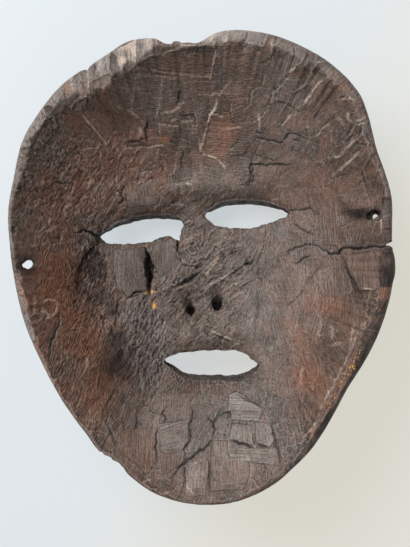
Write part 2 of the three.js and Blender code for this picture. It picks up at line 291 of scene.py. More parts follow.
def hollow_z(x, y, width_at=rim_width):
    """The hollow and the rim round it, which drops to the outline in a quarter round."""
    radius, degrees = polar(x, y)
    outer = outline_radius(degrees)
    width = width_at(degrees)
    share = share_out(radius, outer - width, even_radius(degrees) - EVEN_RIM_WIDTH)
    fade = smooth((1 - share) / 0.22)
    rise = sum(hill(x, y, form) for form in HOLLOW_FORMS)
    inside = -CAVITY_DEPTH * bowl(share, degrees) + fade * rise
    turn = np.clip((radius - (outer - 0.5 * width)) / (0.5 * width), 0, 1)
    return np.where(radius < outer - width, inside, -RIM_ROUND * (1 - np.sqrt(1 - turn**2)))


def nose_rise(u, y):
    """How far the nose stands out, at a distance from the middle line."""
    along = np.clip((NOSE_ROOT_Y - y) / (NOSE_ROOT_Y - NOSE_TIP_Y), 0, 1)
    start = smooth((NOSE_ROOT_Y + 12 - y) / 16)
    under = smooth((y - NOSE_BASE_Y) / (NOSE_TIP_Y - NOSE_BASE_Y))
    half = NOSE_ROOT_HALF + (NOSE_TIP_HALF - NOSE_ROOT_HALF) * along
    height = NOSE_ROOT_RISE + (NOSE_TIP_RISE - NOSE_ROOT_RISE) * along**1.4
    return height * start * under * np.exp(-(np.abs(u / half) ** 2.4))


def face_z(x, y):
    """The outer face."""
    radius, degrees = polar(x, y)
    share = share_out(radius, outline_radius(degrees), even_radius(degrees))
    u = np.abs(x - AXIS_X)
    rise = nose_rise(u, y) + sum(hill(u, y, form) for form in FACE_FORMS)
    rise = rise + ring(u, y, EYELID) + ring(u, y, LIPS)
    plain = -RIM_ROUND - (FACE_DEPTH - RIM_ROUND) * bowl(share, degrees)
    return plain - smooth((1 - share) / 0.2) * rise


def from_picture(points):
    """Where the lines of sight through points of the picture meet the hollow."""
    points = np.array(points, float)
    scale = VIEW_HEIGHT / PICTURE[1]
    right, up = (points - np.array(PICTURE) / 2).T * np.array([[scale], [-scale]])
    turn_x, turn_y = math.cos(VIEW_LEAN), math.sin(VIEW_LEAN)
    across = np.column_stack([right * turn_x + up * turn_y, up * turn_x - right * turn_y])
    depth = np.zeros(len(points))
    for _ in range(8):
        place = VIEW_CENTRE + across * (1 - depth / VIEW_DISTANCE)[:, None]
        depth = hollow_z(*place.T)
    return place


# Splits, cracks and gashes in the hollow: route, half-width and depth. A negative depth is a ridge.
SPLIT_INWARDS = (
    (108, -0.6), (100, -1), (90.5, -0.2), (86.5, 0.5), (82.4, 0.6), (79.4, -1.4), (76.7, -1.2),
    (73.1, 0.8), (69.6, 4.4),
)
GROOVES = (
    (SPLIT_INWARDS, 1.1, 4.5),
    (((69.6, 4.4), (65.8, 5.8), (60.4, 6.1), (55.4, 4.7), (50.4, 3)), 0.8, 1.1),
    (((55, -4.7), (59.3, -2.3), (64.4, -0.7)), 0.9, 1.4),
    (((81.3, -9.1), (83, -13.5), (85, -18.9), (86.3, -27.6)), 0.7, 0.9),
    (((-14.9, 21.9), (-16.2, 15.6), (-15.9, 10.2)), 1.0, 3.2),
    (((-4.2, -2.5), (-8.3, -4.5), (-12.2, -6.6), (-17.9, -8.2), (-24, -10)), 2.2, 3.4),
    (((27.7, -0.2), (24.8, -1.6)), 1.2, 2.0),
    (((-34.4, -54.3), (-37.4, -57.8), (-40.7, -61.6)), 1.1, 2.6),
)
# Ledges: the wood to the left of the route stands higher. Route, height and reach of the high side.
LEDGES = (
    (((28, 46.5), (34.9, 49.8), (36, 60), (52.7, 57.3), (62.8, 55.9)), 1.3, 7),
    (((-56.7, 24), (-57.6, 8), (-55, -6), (-50, -12), (-43, -10), (-37, -8.4)), 0.9, 10),
    (((-15.2, 21), (-17.1, 10), (-12, 3), (-2, 1.5)), 1.2, 7),
    (((-80, -6), (-79.6, 3), (-77, 10), (-73, 17), (-67.5, 22), (-63.5, 25)), 2.6, 13),
)
# A gash with a wider half than this has steep walls and a flat floor.
WIDE_GASH = 3.0
# Marks placed where the picture shows them, in its pixels from the top left corner.
PICTURE = (410, 547)
# Cracks, torn edges, ridges and scratches: route, half-width and depth in millimetres, and how pale
# they are. Cracks are darkened with soot and painted shade; the paleness of the ridges is partly
# painted highlight.
LINES = (
    (((144.5, 247), (146.5, 253), (149, 259), (149.5, 265)), 1.5, 5.0, 0),
    (((148.5, 253), (148, 261), (149.5, 268), (149, 276), (150, 284)), 4.0, 9.0, 0),
    (((149, 268), (150.5, 277), (148.5, 285), (149.5, 291), (150, 297)), 2.2, 7.0, 0),
    (((148, 290.5), (143, 290.5), (135, 293), (129, 297), (126, 299.5)), 1.0, 2.2, 0),
    (
        ((103, 244), (97, 243), (90.5, 249.5), (84.5, 255.5), (80.5, 263.5), (78.5, 271), (78.5, 279)),
        0.8, 1.2, 0,
    ),
    (((104, 240), (98, 237), (92, 232.5), (86, 231)), 1.7, 3.0, 0),
    (((94, 235), (88, 231.5), (82, 230.5), (74, 233)), 1.2, 2.6, 0),
    (((125.5, 186), (121, 193), (123, 200), (118, 206)), 0.9, 1.0, 0),
    (((181, 90), (178.5, 97), (179, 101), (175, 106)), 1.1, 1.6, 0),
    (((250, 261.5), (243, 266), (235, 271.5), (226, 278)), 0.7, 1.3, 0),
    (((214, 334), (223, 339), (232, 342)), 0.7, 1.0, 0),
    (((212, 331), (222, 336), (233, 340)), 0.5, -0.6, 0.8),
    (((218, 251), (219, 258), (213, 266), (206, 274)), 0.5, -0.6, 0.9),
    (((127, 142), (136, 140.5), (144.5, 139)), 0.9, 1.1, 0),
    (((54, 182), (61, 183), (69, 183.5)), 0.8, 0.9, 0),
    (((256, 138), (263, 139), (270, 141.5)), 1.0, 1.3, 0),
    (((267, 141), (275, 141), (282, 143.5)), 0.7, 1.2, 0),
    (((280, 144), (285.5, 137), (291, 132.5)), 1.0, 1.4, 0),
    (((288, 134), (296, 134), (305, 138.5)), 0.8, 1.1, 0),
    (((255, 132), (264, 134.5)), 0.8, 1.0, 0),
    (((291, 139), (299, 141)), 0.7, 0.9, 0),
    (((252, 154), (250, 169), (251, 180), (245.6, 184.4), (239, 186)), 0.8, 1.1, 0),
    (((287, 214), (291.5, 210), (298.5, 210), (310, 208.5), (317, 214.5)), 0.8, 1.2, 0),
    (((293, 224), (301.5, 228.5), (310, 234.5)), 0.7, 0.8, 0),
    (((321, 266), (314, 274), (306, 284)), 0.4, 0.3, 0),
    (((343, 257), (348.5, 271), (353, 283), (357, 296)), 0.6, 0.8, 0),
    (((259, 292), (258, 308), (255, 330)), 0.5, 0.25, 0),
    (
        ((192, 406), (193, 417.5), (190, 421), (189.4, 440), (184, 449), (185, 457.5), (181, 466)),
        0.7, 0.9, 0,
    ),
    (((213.5, 437), (206.5, 446.5), (197, 453.5), (182, 465), (172, 478)), 1.0, 1.5, 0),
    (((207.5, 416), (212.5, 422.5), (214.4, 431), (213, 436)), 0.9, 1.2, 0),
    (((221, 407.5), (217.5, 417.5), (213, 423)), 0.8, 0.9, 0),
    (((218, 417), (222.5, 414), (230, 411), (231, 418)), 0.8, 0.9, 0),
    (((157.5, 426), (156, 445), (157.5, 462)), 0.7, 0.9, 0),
    (((167, 406), (162.5, 413), (166, 419), (162.5, 423)), 0.6, 0.8, 0),
    (((137.5, 411), (136, 426), (134, 430)), 0.6, 0.8, 0),
    (((107.5, 422.5), (111, 434), (116, 445)), 0.8, 0.9, 0),
    (((185, 466), (184.5, 475), (185, 484)), 0.5, 0.6, 0),
    (((236, 394), (249, 401), (262.5, 408)), 0.4, 0.4, 0),
    (((209, 459), (210, 474), (208.5, 490)), 0.5, 0.5, 0),
    (((231, 439.5), (241, 443.5), (254, 448)), 0.7, 1.0, 0),
    (((257, 443), (263, 446), (269, 448)), 0.6, 0.8, 0),
    (((120, 380), (111, 396), (100, 419)), 0.8, 0.7, 0),
    (((216.5, 48), (213.5, 62), (212, 73), (210.5, 78)), 0.5, -0.6, 1.2),
    (((231, 81), (221, 92), (218, 100)), 0.45, -0.5, 0.8),
    (((217.8, 98), (215.6, 108), (210, 115.6), (206.7, 128), (204.4, 139), (200, 149)), 0.65, -1.0, 1.5),
    (((210, 115.6), (216.7, 115), (223.3, 116.7)), 0.4, -0.2, 0.9),
    (((184, 151), (181.7, 159), (181, 169)), 0.6, 0.9, 0),
    (((148, 118), (145.6, 129), (146.7, 142)), 0.9, 1.2, 0),
    (((193.3, 125.6), (192, 134.4)), 0.4, -0.3, 0.8),
    (((158.9, 98), (157.8, 109), (156.7, 117)), 0.45, -0.3, 0.9),
    (((170, 121), (176.7, 119)), 0.5, -0.3, 0.9),
    (((181, 122), (193, 120)), 0.5, -0.3, 0.8),
    (((176.7, 184.5), (184, 183), (191, 184)), 0.5, -0.3, 0.8),
    (((241, 135.6), (236, 143), (231, 148)), 0.5, 0.5, 0),
    (((251, 164.4), (258, 164), (265.6, 164)), 0.6, 0.8, 0),
    (((266, 74), (262.5, 86), (253, 90.5), (250.5, 105), (243.5, 111)), 0.45, -0.4, 0.5),
    (((333, 70), (329, 76), (317, 85), (308, 99), (303, 106), (296, 107.5)), 0.5, -0.7, 1.0),
    (((271, 40), (272.5, 46), (270.5, 52)), 0.5, -0.5, 0.8),
    (((308, 53), (305, 61)), 0.5, 0.7, 0),
    (((311, 72), (319, 62), (327, 62)), 0.4, -0.5, 0.7),
    (((357, 125), (365, 123)), 0.4, -0.4, 0.7),
    (((336, 115), (344, 125)), 0.4, -0.4, 0.8),
    (((291, 115), (286, 121), (282, 125.5)), 0.5, -0.4, 0.8),
    (((258, 112), (260, 122), (258.5, 134)), 0.4, -0.3, 0.6),
    (((204, 154), (210, 156.5), (217, 159), (225.6, 168)), 0.5, -0.5, 1.1),
    (((199, 139), (201, 150), (200, 152)), 0.6, -0.4, 0.8),
    (((196, 94.5), (214, 94), (230, 92.5)), 0.35, -0.1, 0.6),
    (((222, 129), (234, 127.5), (243, 127)), 0.35, -0.1, 0.6),
    (((195, 77), (205, 76.5), (211, 75)), 0.4, -0.2, 0.7),
    (((134, 68), (156, 71), (171, 73), (205, 77)), 0.35, -0.1, 0.55),
    (((128, 74), (160, 76), (190, 80)), 0.3, -0.05, 0.35),
    (((135, 75), (133, 92), (131.5, 109)), 0.35, -0.1, 0.5),
    (((162, 76), (161, 95), (159, 109), (155.5, 117)), 0.4, -0.15, 0.55),
    (((183, 62), (182, 72), (179, 80)), 0.35, -0.1, 0.4),
    (((116.7, 106.7), (132, 112), (143.3, 122)), 0.45, -0.2, 0.7),
    (((78.5, 110), (92, 126), (106, 144)), 0.4, -0.25, 1.0),
    (((125.5, 148.5), (148, 146.5), (169, 143.5)), 0.4, -0.2, 1.0),
    (((161, 113), (171, 112), (179, 107.8), (183, 102)), 0.4, -0.3, 0.8),
    (((129, 139), (131, 133), (135.6, 129)), 0.4, -0.4, 0.7),
    (((139.4, 126.7), (141, 133), (138, 139)), 0.45, -0.4, 0.8),
    (((358, 138), (351, 143.5), (339, 156.5), (329, 158)), 0.5, -0.5, 0.8),
    (((359, 152), (346.5, 164), (332, 175)), 0.5, -0.4, 0.7),
    (((342, 99), (351, 98.5), (355, 100)), 0.5, -0.5, 0.8),
    (((348, 113), (348, 119), (353, 122), (361, 120), (365, 117)), 0.5, -0.6, 0.8),
    (((335, 119), (323, 128), (316, 136)), 0.45, -0.4, 0.7),
    (((282, 75.5), (295, 67), (301, 62), (305, 55)), 0.5, -0.8, 1.0),
    (((63, 210), (69, 206), (71.5, 203.5)), 0.6, -0.4, 0.9),
    (((171, 284.5), (177, 286.5), (184.5, 285.5), (190.5, 280.5)), 0.8, -0.9, 0.9),
    (((201.5, 274), (210, 265), (219, 256)), 0.8, -0.8, 0.45),
    (((203, 289), (220, 279), (236, 271), (247, 266)), 0.8, -0.9, 0.65),
    (((228, 300), (236, 295), (246, 291)), 0.6, -0.5, 0.6),
    (((224, 291), (232, 285), (243, 281)), 0.6, -0.5, 0.5),
    (((357, 289.5), (364, 289), (371.5, 289.5)), 0.45, -0.2, 0.8),
    (((371.5, 291), (367.5, 302), (367, 317)), 0.4, -0.2, 0.35),
    (((321.5, 320), (318, 332), (315.5, 343)), 0.4, -0.1, 0.35),
    (((297, 320), (295.5, 332)), 0.4, -0.1, 0.3),
    (((330, 346.5), (338, 343.5), (348.5, 343)), 0.45, -0.15, 0.35),
    (((303, 366), (301.5, 376), (299.5, 385)), 0.45, -0.2, 0.5),
    (((331, 325), (332, 332), (331, 340)), 0.5, -0.15, 0.5),
    (((271, 424), (275.5, 442), (280, 462)), 0.5, 0.6, 0),
    (((230, 396), (229.5, 408), (231, 420)), 0.5, -0.4, 0.7),
    (((252, 427), (251, 440), (256, 450)), 0.5, -0.4, 0.6),
    (((229, 441), (228.5, 450), (231, 455)), 0.5, -0.3, 0.7),
    (((244, 449), (252, 466), (249, 482)), 0.5, -0.3, 0.5),
    (((188, 492), (186.5, 486), (190, 489), (193, 494)), 0.5, -0.3, 0.7),
    (((186, 467), (197, 461), (206, 457)), 0.5, -0.4, 0.6),
    (((142, 483), (147, 480), (151, 480)), 0.7, -0.5, 0.9),
    (
        (
            (362.5, 325), (358.8, 332.5), (350, 353.8), (342.5, 367.5), (333.8, 385), (321.3, 407.5),
            (317.5, 420), (310, 431), (303.5, 438),
        ),
        0.4, -0.35, 0.9,
    ),
    (((355, 322), (352.5, 332.5), (350, 352)), 0.35, -0.2, 0.6),
    (((371, 316), (366, 324), (361, 331)), 0.3, -0.2, 0.35),
    (((130, 68.5), (150, 56), (168, 52.5), (179, 47.5), (205, 45), (222, 46)), 0.4, -0.3, 0.7),
    (((64, 103.5), (71, 106), (79, 98.5), (86, 97), (91.5, 99.5)), 0.4, -0.2, 0.7),
    (
        ((353, 371), (347, 381), (341, 390), (336, 403), (327, 413), (319, 427), (312, 440)),
        0.35, -0.3, 0.45,
    ),
    (((94.5, 61), (95.3, 68), (94, 76)), 0.55, 0.8, 0),
    (((84, 64), (85.5, 69)), 0.8, 0.8, 0),
    (((126, 51), (127, 59), (128, 67)), 0.4, 0.4, 0),
    (((130, 50), (131, 57), (131, 63)), 0.4, 0.4, 0),
    (((128.5, 51), (129.3, 58), (129.5, 65)), 0.35, -0.2, 0.8),
    (((122, 53), (123, 61), (121.5, 70)), 0.35, -0.2, 0.6),
    (((139, 44), (141, 52), (140.5, 58)), 0.4, 0.3, 0),
    (((75, 72), (77, 84), (78, 97)), 0.35, 0.25, 0),
    (((81, 68), (83, 80), (82.5, 92)), 0.35, 0.2, 0),
    (((71, 76), (73, 88), (74, 100)), 0.35, -0.15, 0.5),
    (((88, 66), (88.5, 78), (87.5, 92)), 0.35, -0.15, 0.5),
    (((99, 60), (100, 68), (99, 75)), 0.35, -0.15, 0.45),
    (((105, 58), (106, 66), (104.5, 73)), 0.35, 0.2, 0),
    (((152, 38), (156, 45), (154, 52)), 0.5, 0.5, 0),
    (((163, 36), (166, 43), (171, 49)), 0.6, 0.7, 0),
    (((172, 40), (178, 43), (184, 47)), 0.4, -0.4, 0.7),
    (((381, 219), (381.5, 233)), 0.45, -0.5, 0.7),
    (((72, 328), (83, 328), (86.5, 330)), 0.35, -0.2, 0.6),
    (((60, 313), (58, 325), (53, 336), (50, 343), (48.7, 362)), 0.7, 1.6, 0),
    (((86.5, 352), (90, 345)), 1.2, 1.5, 0),
    (((32, 247), (40, 244.5), (47.5, 243)), 0.35, -0.2, 0.6),
    (((37.5, 231.7), (51, 230.5), (56.5, 225)), 0.35, -0.2, 0.6),
    (((56.5, 244), (63, 243), (70, 240.5)), 0.35, -0.2, 0.6),
    (((60, 293), (67, 292.5), (75, 293)), 0.35, -0.2, 0.6),
    (((45, 311), (51, 318.5)), 0.6, -0.4, 1.0),
    (
        ((43, 314), (42, 307), (45, 301.5), (50, 299), (56, 300.5), (58.5, 306), (56, 312), (51, 316.5)),
        0.5, -0.5, 0.8,
    ),
    (((34.5, 296), (36, 301), (34.5, 308), (34, 314), (31.5, 318)), 0.5, -0.4, 0.7),
    (((47, 279), (51, 278), (55, 278)), 0.6, -0.4, 0.4),
    (((87, 356), (87.8, 363), (87.5, 370)), 0.5, -0.4, 0.7),
    (((48, 344), (51, 349), (49, 356)), 0.5, -0.4, 0.7),
)
# Single flat cuts: corners in the picture, direction of their lines in degrees, how many
# millimetres they stand higher, and how worn, warm and dark they are. Their darkness is partly
# painted shade, as in the trough beside the left eye.
FACETS = (
    (((229, 395), (237, 391.5), (262, 409), (260, 421.5), (231.5, 420)), -7, 0.6, 0.85, 0, 0),
    (((232.5, 424), (250, 426), (254, 446), (240, 442.5), (229, 439)), 92, 0.3, 0.6, 0, 0),
    (((256, 422.5), (270.5, 424), (275, 440), (269, 447.5), (256, 442.5)), 88, 0.45, 0.55, 0, 0),
    (((229, 441), (255, 449), (277, 447.5), (280, 466), (250, 462.5), (229, 456)), -7, 0.1, 0.5, 0, 0),
    (
        (
            (212, 440), (227.5, 441), (228, 456), (249, 462.5), (250, 475), (244, 490), (210, 493),
            (210, 460),
        ),
        85, -0.2, 0.25, 0.2, 0,
    ),
    (((159, 426), (189, 419), (188.5, 441), (182.5, 450), (160, 451)), 8, 0.4, 0.45, 0.05, 0),
    (((160, 396), (190, 393), (190, 418), (160, 424)), 82, 0.0, 0.2, 0.1, 0),
    (((187.5, 487), (206, 486), (206, 496), (188, 496)), 80, 0.3, 0.5, 0.1, 0),
    (((160, 453), (182, 451), (178, 466), (162, 476)), 85, -0.1, 0.1, 0.1, 0.1),
    (((185, 467), (206.5, 457), (209, 463), (206.5, 487), (186.5, 490)), 80, 0.5, 0.6, 0.3, 0),
    (
        ((119, 429), (155, 427.5), (155.5, 462), (147.5, 475), (129, 460), (117.5, 447.5)),
        84, -0.3, 0.1, 0.35, 0,
    ),
    (((192, 404), (212, 404), (214, 425), (200, 440), (191, 436)), 50, -0.2, 0.2, 0, 0.15),
    (
        (
            (210, 117), (230, 111), (231, 122), (242, 125.6), (241, 135.6), (231, 149), (223, 161),
            (207, 156.5), (204.4, 148), (208, 129),
        ),
        -6, -0.35, 0.1, 0.5, 0,
    ),
    (((285, 115), (311, 110), (311, 125), (297, 131), (285, 128)), 75, -0.3, 0.25, 0.35, 0),
    (((320, 134), (333, 133), (332, 146), (325, 163), (316, 160)), 88, -0.3, 0.1, 0.3, 0),
    (((315, 90), (333, 86), (339, 100), (335, 110), (311, 102)), 45, -0.2, 0.08, 0.05, 0.05),
    (((285, 75.5), (303, 67), (309, 70), (303, 78), (290, 79)), -20, -0.4, 0, 0.35, 0.1),
    (((338, 80), (344, 78), (350, 90), (346, 93), (338, 90)), 40, 0.3, 0.2, 0.6, 0),
    (((94, 81), (101, 78), (101, 99), (93, 98)), 80, -0.2, 0.1, 0, 0.3),
    (((101, 90), (111, 90), (110, 100), (105, 107.5), (100, 100)), 60, 0.1, 0.1, 0.45, 0),
    (((61, 115), (80, 111), (103, 140), (105, 146), (84, 135), (67, 127.5)), -57, -0.2, 0, 0.25, 0.1),
    (((80, 111), (100, 110), (115, 126), (105, 144)), -57, 0.1, 0.1, 0.25, 0),
    (((111, 107.5), (142, 124), (136, 130), (115, 130)), -34, -0.1, 0.1, 0.1, 0),
    (((129, 141), (145, 142), (166, 142.5), (140, 148), (127, 149)), -2, -0.4, 0, 0, 0.45),
    (((136, 125), (145, 126), (144, 139), (136, 138)), 70, 0.1, 0.3, 0.2, 0),
    (((171, 86), (182.5, 84), (180, 99), (174, 97)), 70, -0.4, 0.2, 0, 0.35),
    (((170, 58), (215, 50), (212, 76), (205, 94), (172, 92)), -7, -0.2, 0.1, 0.1, 0),
    (
        ((222, 50), (262, 52), (262, 84), (250, 92), (248, 106), (231, 104), (222, 92)),
        -5, 0.2, 0.12, 0.1, 0,
    ),
    (((118, 82), (134, 70), (168, 74), (163, 110), (150, 120), (118, 104)), -8, -0.3, 0.2, 0.05, 0),
    (((126, 189), (156, 179), (157, 204), (128.5, 207)), 88, 0.4, 0.35, 0.05, 0),
    (((147, 136.5), (170, 134.5), (169, 142), (147, 144.5)), -3, 0.1, 0.05, 0.6, 0),
    (((147, 120), (155, 120), (155, 129), (147, 129)), 85, -0.6, 0, 0, 0.75),
    (
        ((152.5, 246), (172, 238), (181, 250), (180, 262), (172, 270), (160, 276), (154, 264)),
        78, 0.2, 0.3, 0.0, 0.3,
    ),
    (((104, 248), (112, 247), (113, 286), (106, 283)), 84, 0.0, 0.05, 0.1, 0.35),
    (((113, 250), (143, 248), (141, 266), (145, 287), (126, 297), (114, 286)), 80, 0.1, 0.3, 0.0, 0.28),
    (((345, 256), (380, 250), (380, 288), (371, 290), (357, 289)), 84, 0.4, 0.25, 0.2, 0),
    (((318, 270), (342, 262), (354, 291), (343, 297), (320, 294)), 86, 0.15, 0.15, 0.1, 0),
    (((361, 170), (330, 178), (336, 188), (350, 210), (372, 206)), 70, 0.3, 0.2, 0.35, 0),
    (((322, 186), (334, 190), (343, 214), (338, 246), (322, 244)), 86, 0.15, 0.15, 0.2, 0),
    (((312, 71), (321, 62), (327, 63), (315, 75)), 50, -0.5, 0, 0.1, 0.3),
)
# The same for the worn edge of the crown and the lower right edge, which are not plain. The dark
# outer band of the right edge and the dark wedge cut in the crown are painted shade.
RIM_CUTS = (
    (
        (
            (30, 147.5), (39.5, 131), (46, 120), (54, 115), (60.5, 114), (66, 105.5), (77.5, 102.5),
            (84, 97), (91.5, 98.8), (92, 82.5), (100, 77.5), (110, 73.8), (117.5, 79), (125, 71.5),
            (139, 62.5), (149, 57.5), (165, 52.5), (180, 49.5), (205, 45), (223.5, 45.5), (229.5, 40.5),
            (246, 43), (263, 48), (272, 30), (240, 15), (120, 15), (60, 60), (10, 110), (12, 150),
        ),
        74, 0.8, 0.5, 0.05, 0.05,
    ),
    (((46, 119), (52, 104), (64, 92), (66, 105), (60, 113)), 60, 0.9, 0.6, 0.05, 0.05),
    (((66.5, 105), (72, 74), (84, 64), (84, 97), (77.5, 102)), 78, 1.0, 0.42, 0, 0.1),
    (((84, 97), (84, 64), (93.5, 57), (91.5, 98)), 76, 0.7, 0.3, 0.05, 0.15),
    (((95.5, 80), (95.5, 58), (111, 50), (109.5, 73.5)), 72, 0.9, 1.1, 0.05, 0),
    (((112, 52), (116.5, 57), (117.5, 78), (114.5, 77.5), (110, 67)), 74, 0.0, 0.1, 0.2, 0.8),
    (((118, 50), (137, 40), (136, 64), (119, 77)), 80, 1.0, 1.7, 0, 0),
    (((138, 40), (158, 32), (157, 54), (139, 62)), 66, 0.8, 1.25, 0.2, 0),
    (((65, 82), (69, 79), (71, 92), (67, 104), (64.5, 96)), 74, 0.7, 0.3, 0.6, 0.1),
    (((159, 30), (170, 34), (180, 44), (172, 51), (158, 53)), 60, 0.5, 0.4, 0.25, 0.25),
    (((200, 30), (232, 22), (228, 41), (222, 45.5), (203, 45)), 40, 0.9, 1.35, 0.15, 0),
    (((232, 22), (262, 28), (258, 46), (246, 43), (230, 41)), 60, 0.8, 1.1, 0.1, 0.1),
    (((44, 107), (49, 105), (54, 108), (52, 113), (46, 112)), 50, 0.1, 0, 0, 0.75),
    (
        (
            (362.5, 326), (350, 354), (342.5, 368), (334, 385), (321.5, 407.5), (317.5, 420), (304, 437),
            (311, 440), (327, 413), (336, 403), (352, 371), (365, 330),
        ),
        60, 0.0, 0.15, 0.5, 0.1,
    ),
    (
        (
            (365, 330), (352, 371), (336, 403), (327, 413), (311, 440), (300, 452), (330, 450),
            (380, 380), (395, 335),
        ),
        60, -0.3, 0.02, 0.1, 0.85,
    ),
    (((366, 328), (368, 310), (377, 302), (398, 300), (394, 334)), 60, -0.2, 0.0, 0.15, 0.8),
    (((381.5, 248), (402, 248), (402, 287), (379.5, 287)), 84, 0.2, 0.02, 0.15, 0.7),
    (((379, 287), (391, 287), (388, 299), (377, 300)), 84, 0.1, 0.05, 1.0, 0.05),
    (((273, 48), (279, 47), (281, 58), (274, 61)), 80, -0.2, 0, 0.2, 0.5),
    (((285, 53), (293, 45), (295, 65), (283, 75), (280, 73)), 60, 0.5, 0.35, 0.1, 0),
    (((294, 45), (307, 50), (304, 60), (295, 66)), 55, 0.5, 0.3, 0.05, 0),
    (
        ((262, 30), (300, 40), (327, 58), (345, 76), (361, 95), (370, 90), (345, 60), (310, 30)),
        60, 0.5, 0.35, 0.1, 0.1,
    ),
    (((12, 272), (18, 285), (22, 295), (27, 311), (18, 312), (6, 276)), 70, 0.3, 0.5, 0.75, 0),
    (((27, 313), (31, 322), (36, 341), (26, 342), (18, 314)), 70, 0.3, 0.9, 0.1, 0),
    (((36, 343), (44, 355), (52, 367), (44, 372), (28, 346)), 60, 0.3, 0.4, 0.6, 0),
    (((382.5, 198), (402, 198), (402, 243), (382, 243)), 86, 0.3, 0.05, 0.2, 0.65),
    (((18.5, 283), (23.5, 288), (28.5, 301), (31.5, 315), (27, 312), (21, 298)), 80, 0.1, 0.45, 0.9, 0.0),
)
# Flat cuts of the gouge, side by side: centre and half-sizes of the field, then the length, width
# and direction in degrees of a cut, how far it tilts and how much higher or lower it lies.
CHIP_FIELDS = (
    (4, 92, 50, 40, 10, 18, -7, 0.05, 0.3),
    (66, 84, 36, 44, 15, 11, 50, 0.06, 0.35),
    (-74, 76, 36, 48, 9, 4.5, 56, 0.1, 0.34),
    (-84, -16, 22, 66, 18, 8, 64, 0.06, 0.25),
    (-44, -40, 14, 28, 8, 2.4, 60, 0.1, 0.3),
    (-4, 8, 36, 44, 8, 4, 42, 0.1, 0.34),
    (64, -14, 34, 56, 22, 12, 84, 0.04, 0.25),
    (10, -96, 34, 30, 15, 11, 82, 0.05, 0.4),
    (-40, -92, 28, 30, 13, 7, 62, 0.08, 0.38),
    (-42, 70, 22, 20, 8, 4.5, 50, 0.1, 0.34),
)
# Narrow cuts and splinters: centre and half-sizes of the field, number, then half-length,
# half-width, depth, direction in degrees and how far it strays.
NICK_FIELDS = (
    (0, 88, 96, 44, 30, 4, 0.9, 0.4, 84, 50),
    (-76, 74, 34, 50, 150, 2.6, 0.9, 0.7, 56, 22),
    (-42, 70, 26, 22, 60, 2.2, 0.9, 0.6, 56, 40),
    (80, 92, 28, 40, 26, 4, 1.0, 0.7, 40, 30),
    (40, 122, 34, 10, 30, 3, 1.0, 0.9, 66, 16),
    (-86, 0, 18, 74, 30, 4, 0.9, 0.4, 66, 16),
    (-43, -40, 12, 28, 90, 4.0, 0.8, 1.0, 64, 12),
    (-68, 0, 9, 24, 90, 2.4, 0.9, 1.1, 68, 16),
    (-70, -40, 16, 40, 30, 7, 0.8, 0.4, 64, 10),
    (-4, 4, 34, 30, 40, 3, 0.9, 0.8, 46, 20),
    (-16, -42, 34, 9, 30, 2.4, 0.9, 0.5, 60, 50),
    (-4, -98, 56, 34, 30, 3, 0.9, 0.4, 70, 60),
)
SPLINTER_FIELDS = (
    (-76, 74, 34, 50, 130, 2.4, 0.9, 0.6, 56, 18),
    (-42, 70, 26, 22, 50, 2, 0.8, 0.6, 60, 40),
    (82, 92, 26, 40, 20, 5, 0.9, 0.6, 40, 30),
    (-43, -40, 12, 28, 90, 3.6, 0.8, 0.9, 66, 12),
    (-67, -2, 10, 30, 120, 3.4, 0.8, 1.4, 76, 12),
    (-70, -40, 16, 40, 30, 7, 0.8, 0.4, 64, 10),
    (-4, 4, 34, 30, 44, 4.5, 0.9, 0.8, 40, 16),
    (-4, -98, 56, 34, 20, 3.2, 0.9, 0.35, 40, 60),
)
# Marks of other kinds: dents round the holes, and rings, as hill() and ring() take them.
DENTS = (
    (-14.6, -20.6, 3.4, 5.2, -2.6), (3.2, -18.6, 4, 6, -3.2), (89, 20.2, 6, 3, -3.0),
    (-100.5, 15, 4.5, 4.5, -1.2), (-71, 11, 6, 9, -3), (-76, -2, 5, 8, -2), (27, -1, 2, 2, -1.5),
)
RINGS = (
    (-94.4, -11.8, 4.6, 5.2, 0.14, 0.55), (-88, 25.3, 5.5, 4, 0.2, -0.5),
    (-96, -17, 1.8, 2.2, 0.4, 0.5),
)
# Stretches where the rim swells out beyond the solid's: middle angle, reach and how far.
RIM_SWELLS = (
    (287, 20, 1.1), (104.5, 7, 0.9), (16.5, 8, 0.5), (353, 4, 1.0), (320, 14, 0.5), (90, 1.1, 1.8),
    (87.6, 1.4, 0.8),
)
# Bites that the edge of the rim has lost: middle angle, reach and how deep.
RIM_BITES = ((97, 6, 0.8), (113.6, 1.6, 1.8), (236, 6, 1.3), (84, 4, 0.8))
# Facets of the rim: how many degrees each takes, and how far their inner edges stray.
RIM_FACET = 3.6
RIM_STRAY = 0.12
# The knot on the bridge of the nose: centre, radius and the width of its rings.
KNOT = (-7.5, 12.5, 9.5)
KNOT_RING = 2.2


class Noise:
    """Smooth random values from -1 to 1 over the plane, the same on each run."""

    SIDE = 256

    def __init__(self, seed):
        self.grid = np.random.default_rng(seed).uniform(-1, 1, (self.SIDE, self.SIDE))

    def at(self, i, j):
        """The random value of one cell."""
        return self.grid[i % self.SIDE, j % self.SIDE]

    def __call__(self, x, y, cell):
        gx, gy = x / cell, y / cell
        i, j = np.floor(gx).astype(int), np.floor(gy).astype(int)
        u, v = smooth(gx - i), smooth(gy - j)
        low = self.at(i, j) * (1 - u) + self.at(i + 1, j) * u
        high = self.at(i, j + 1) * (1 - u) + self.at(i + 1, j + 1) * u
        return low * (1 - v) + high * v


lump_noise = Noise(3)
edge_noise = Noise(8)
chip_noises = [Noise(seed) for seed in range(30, 37)]


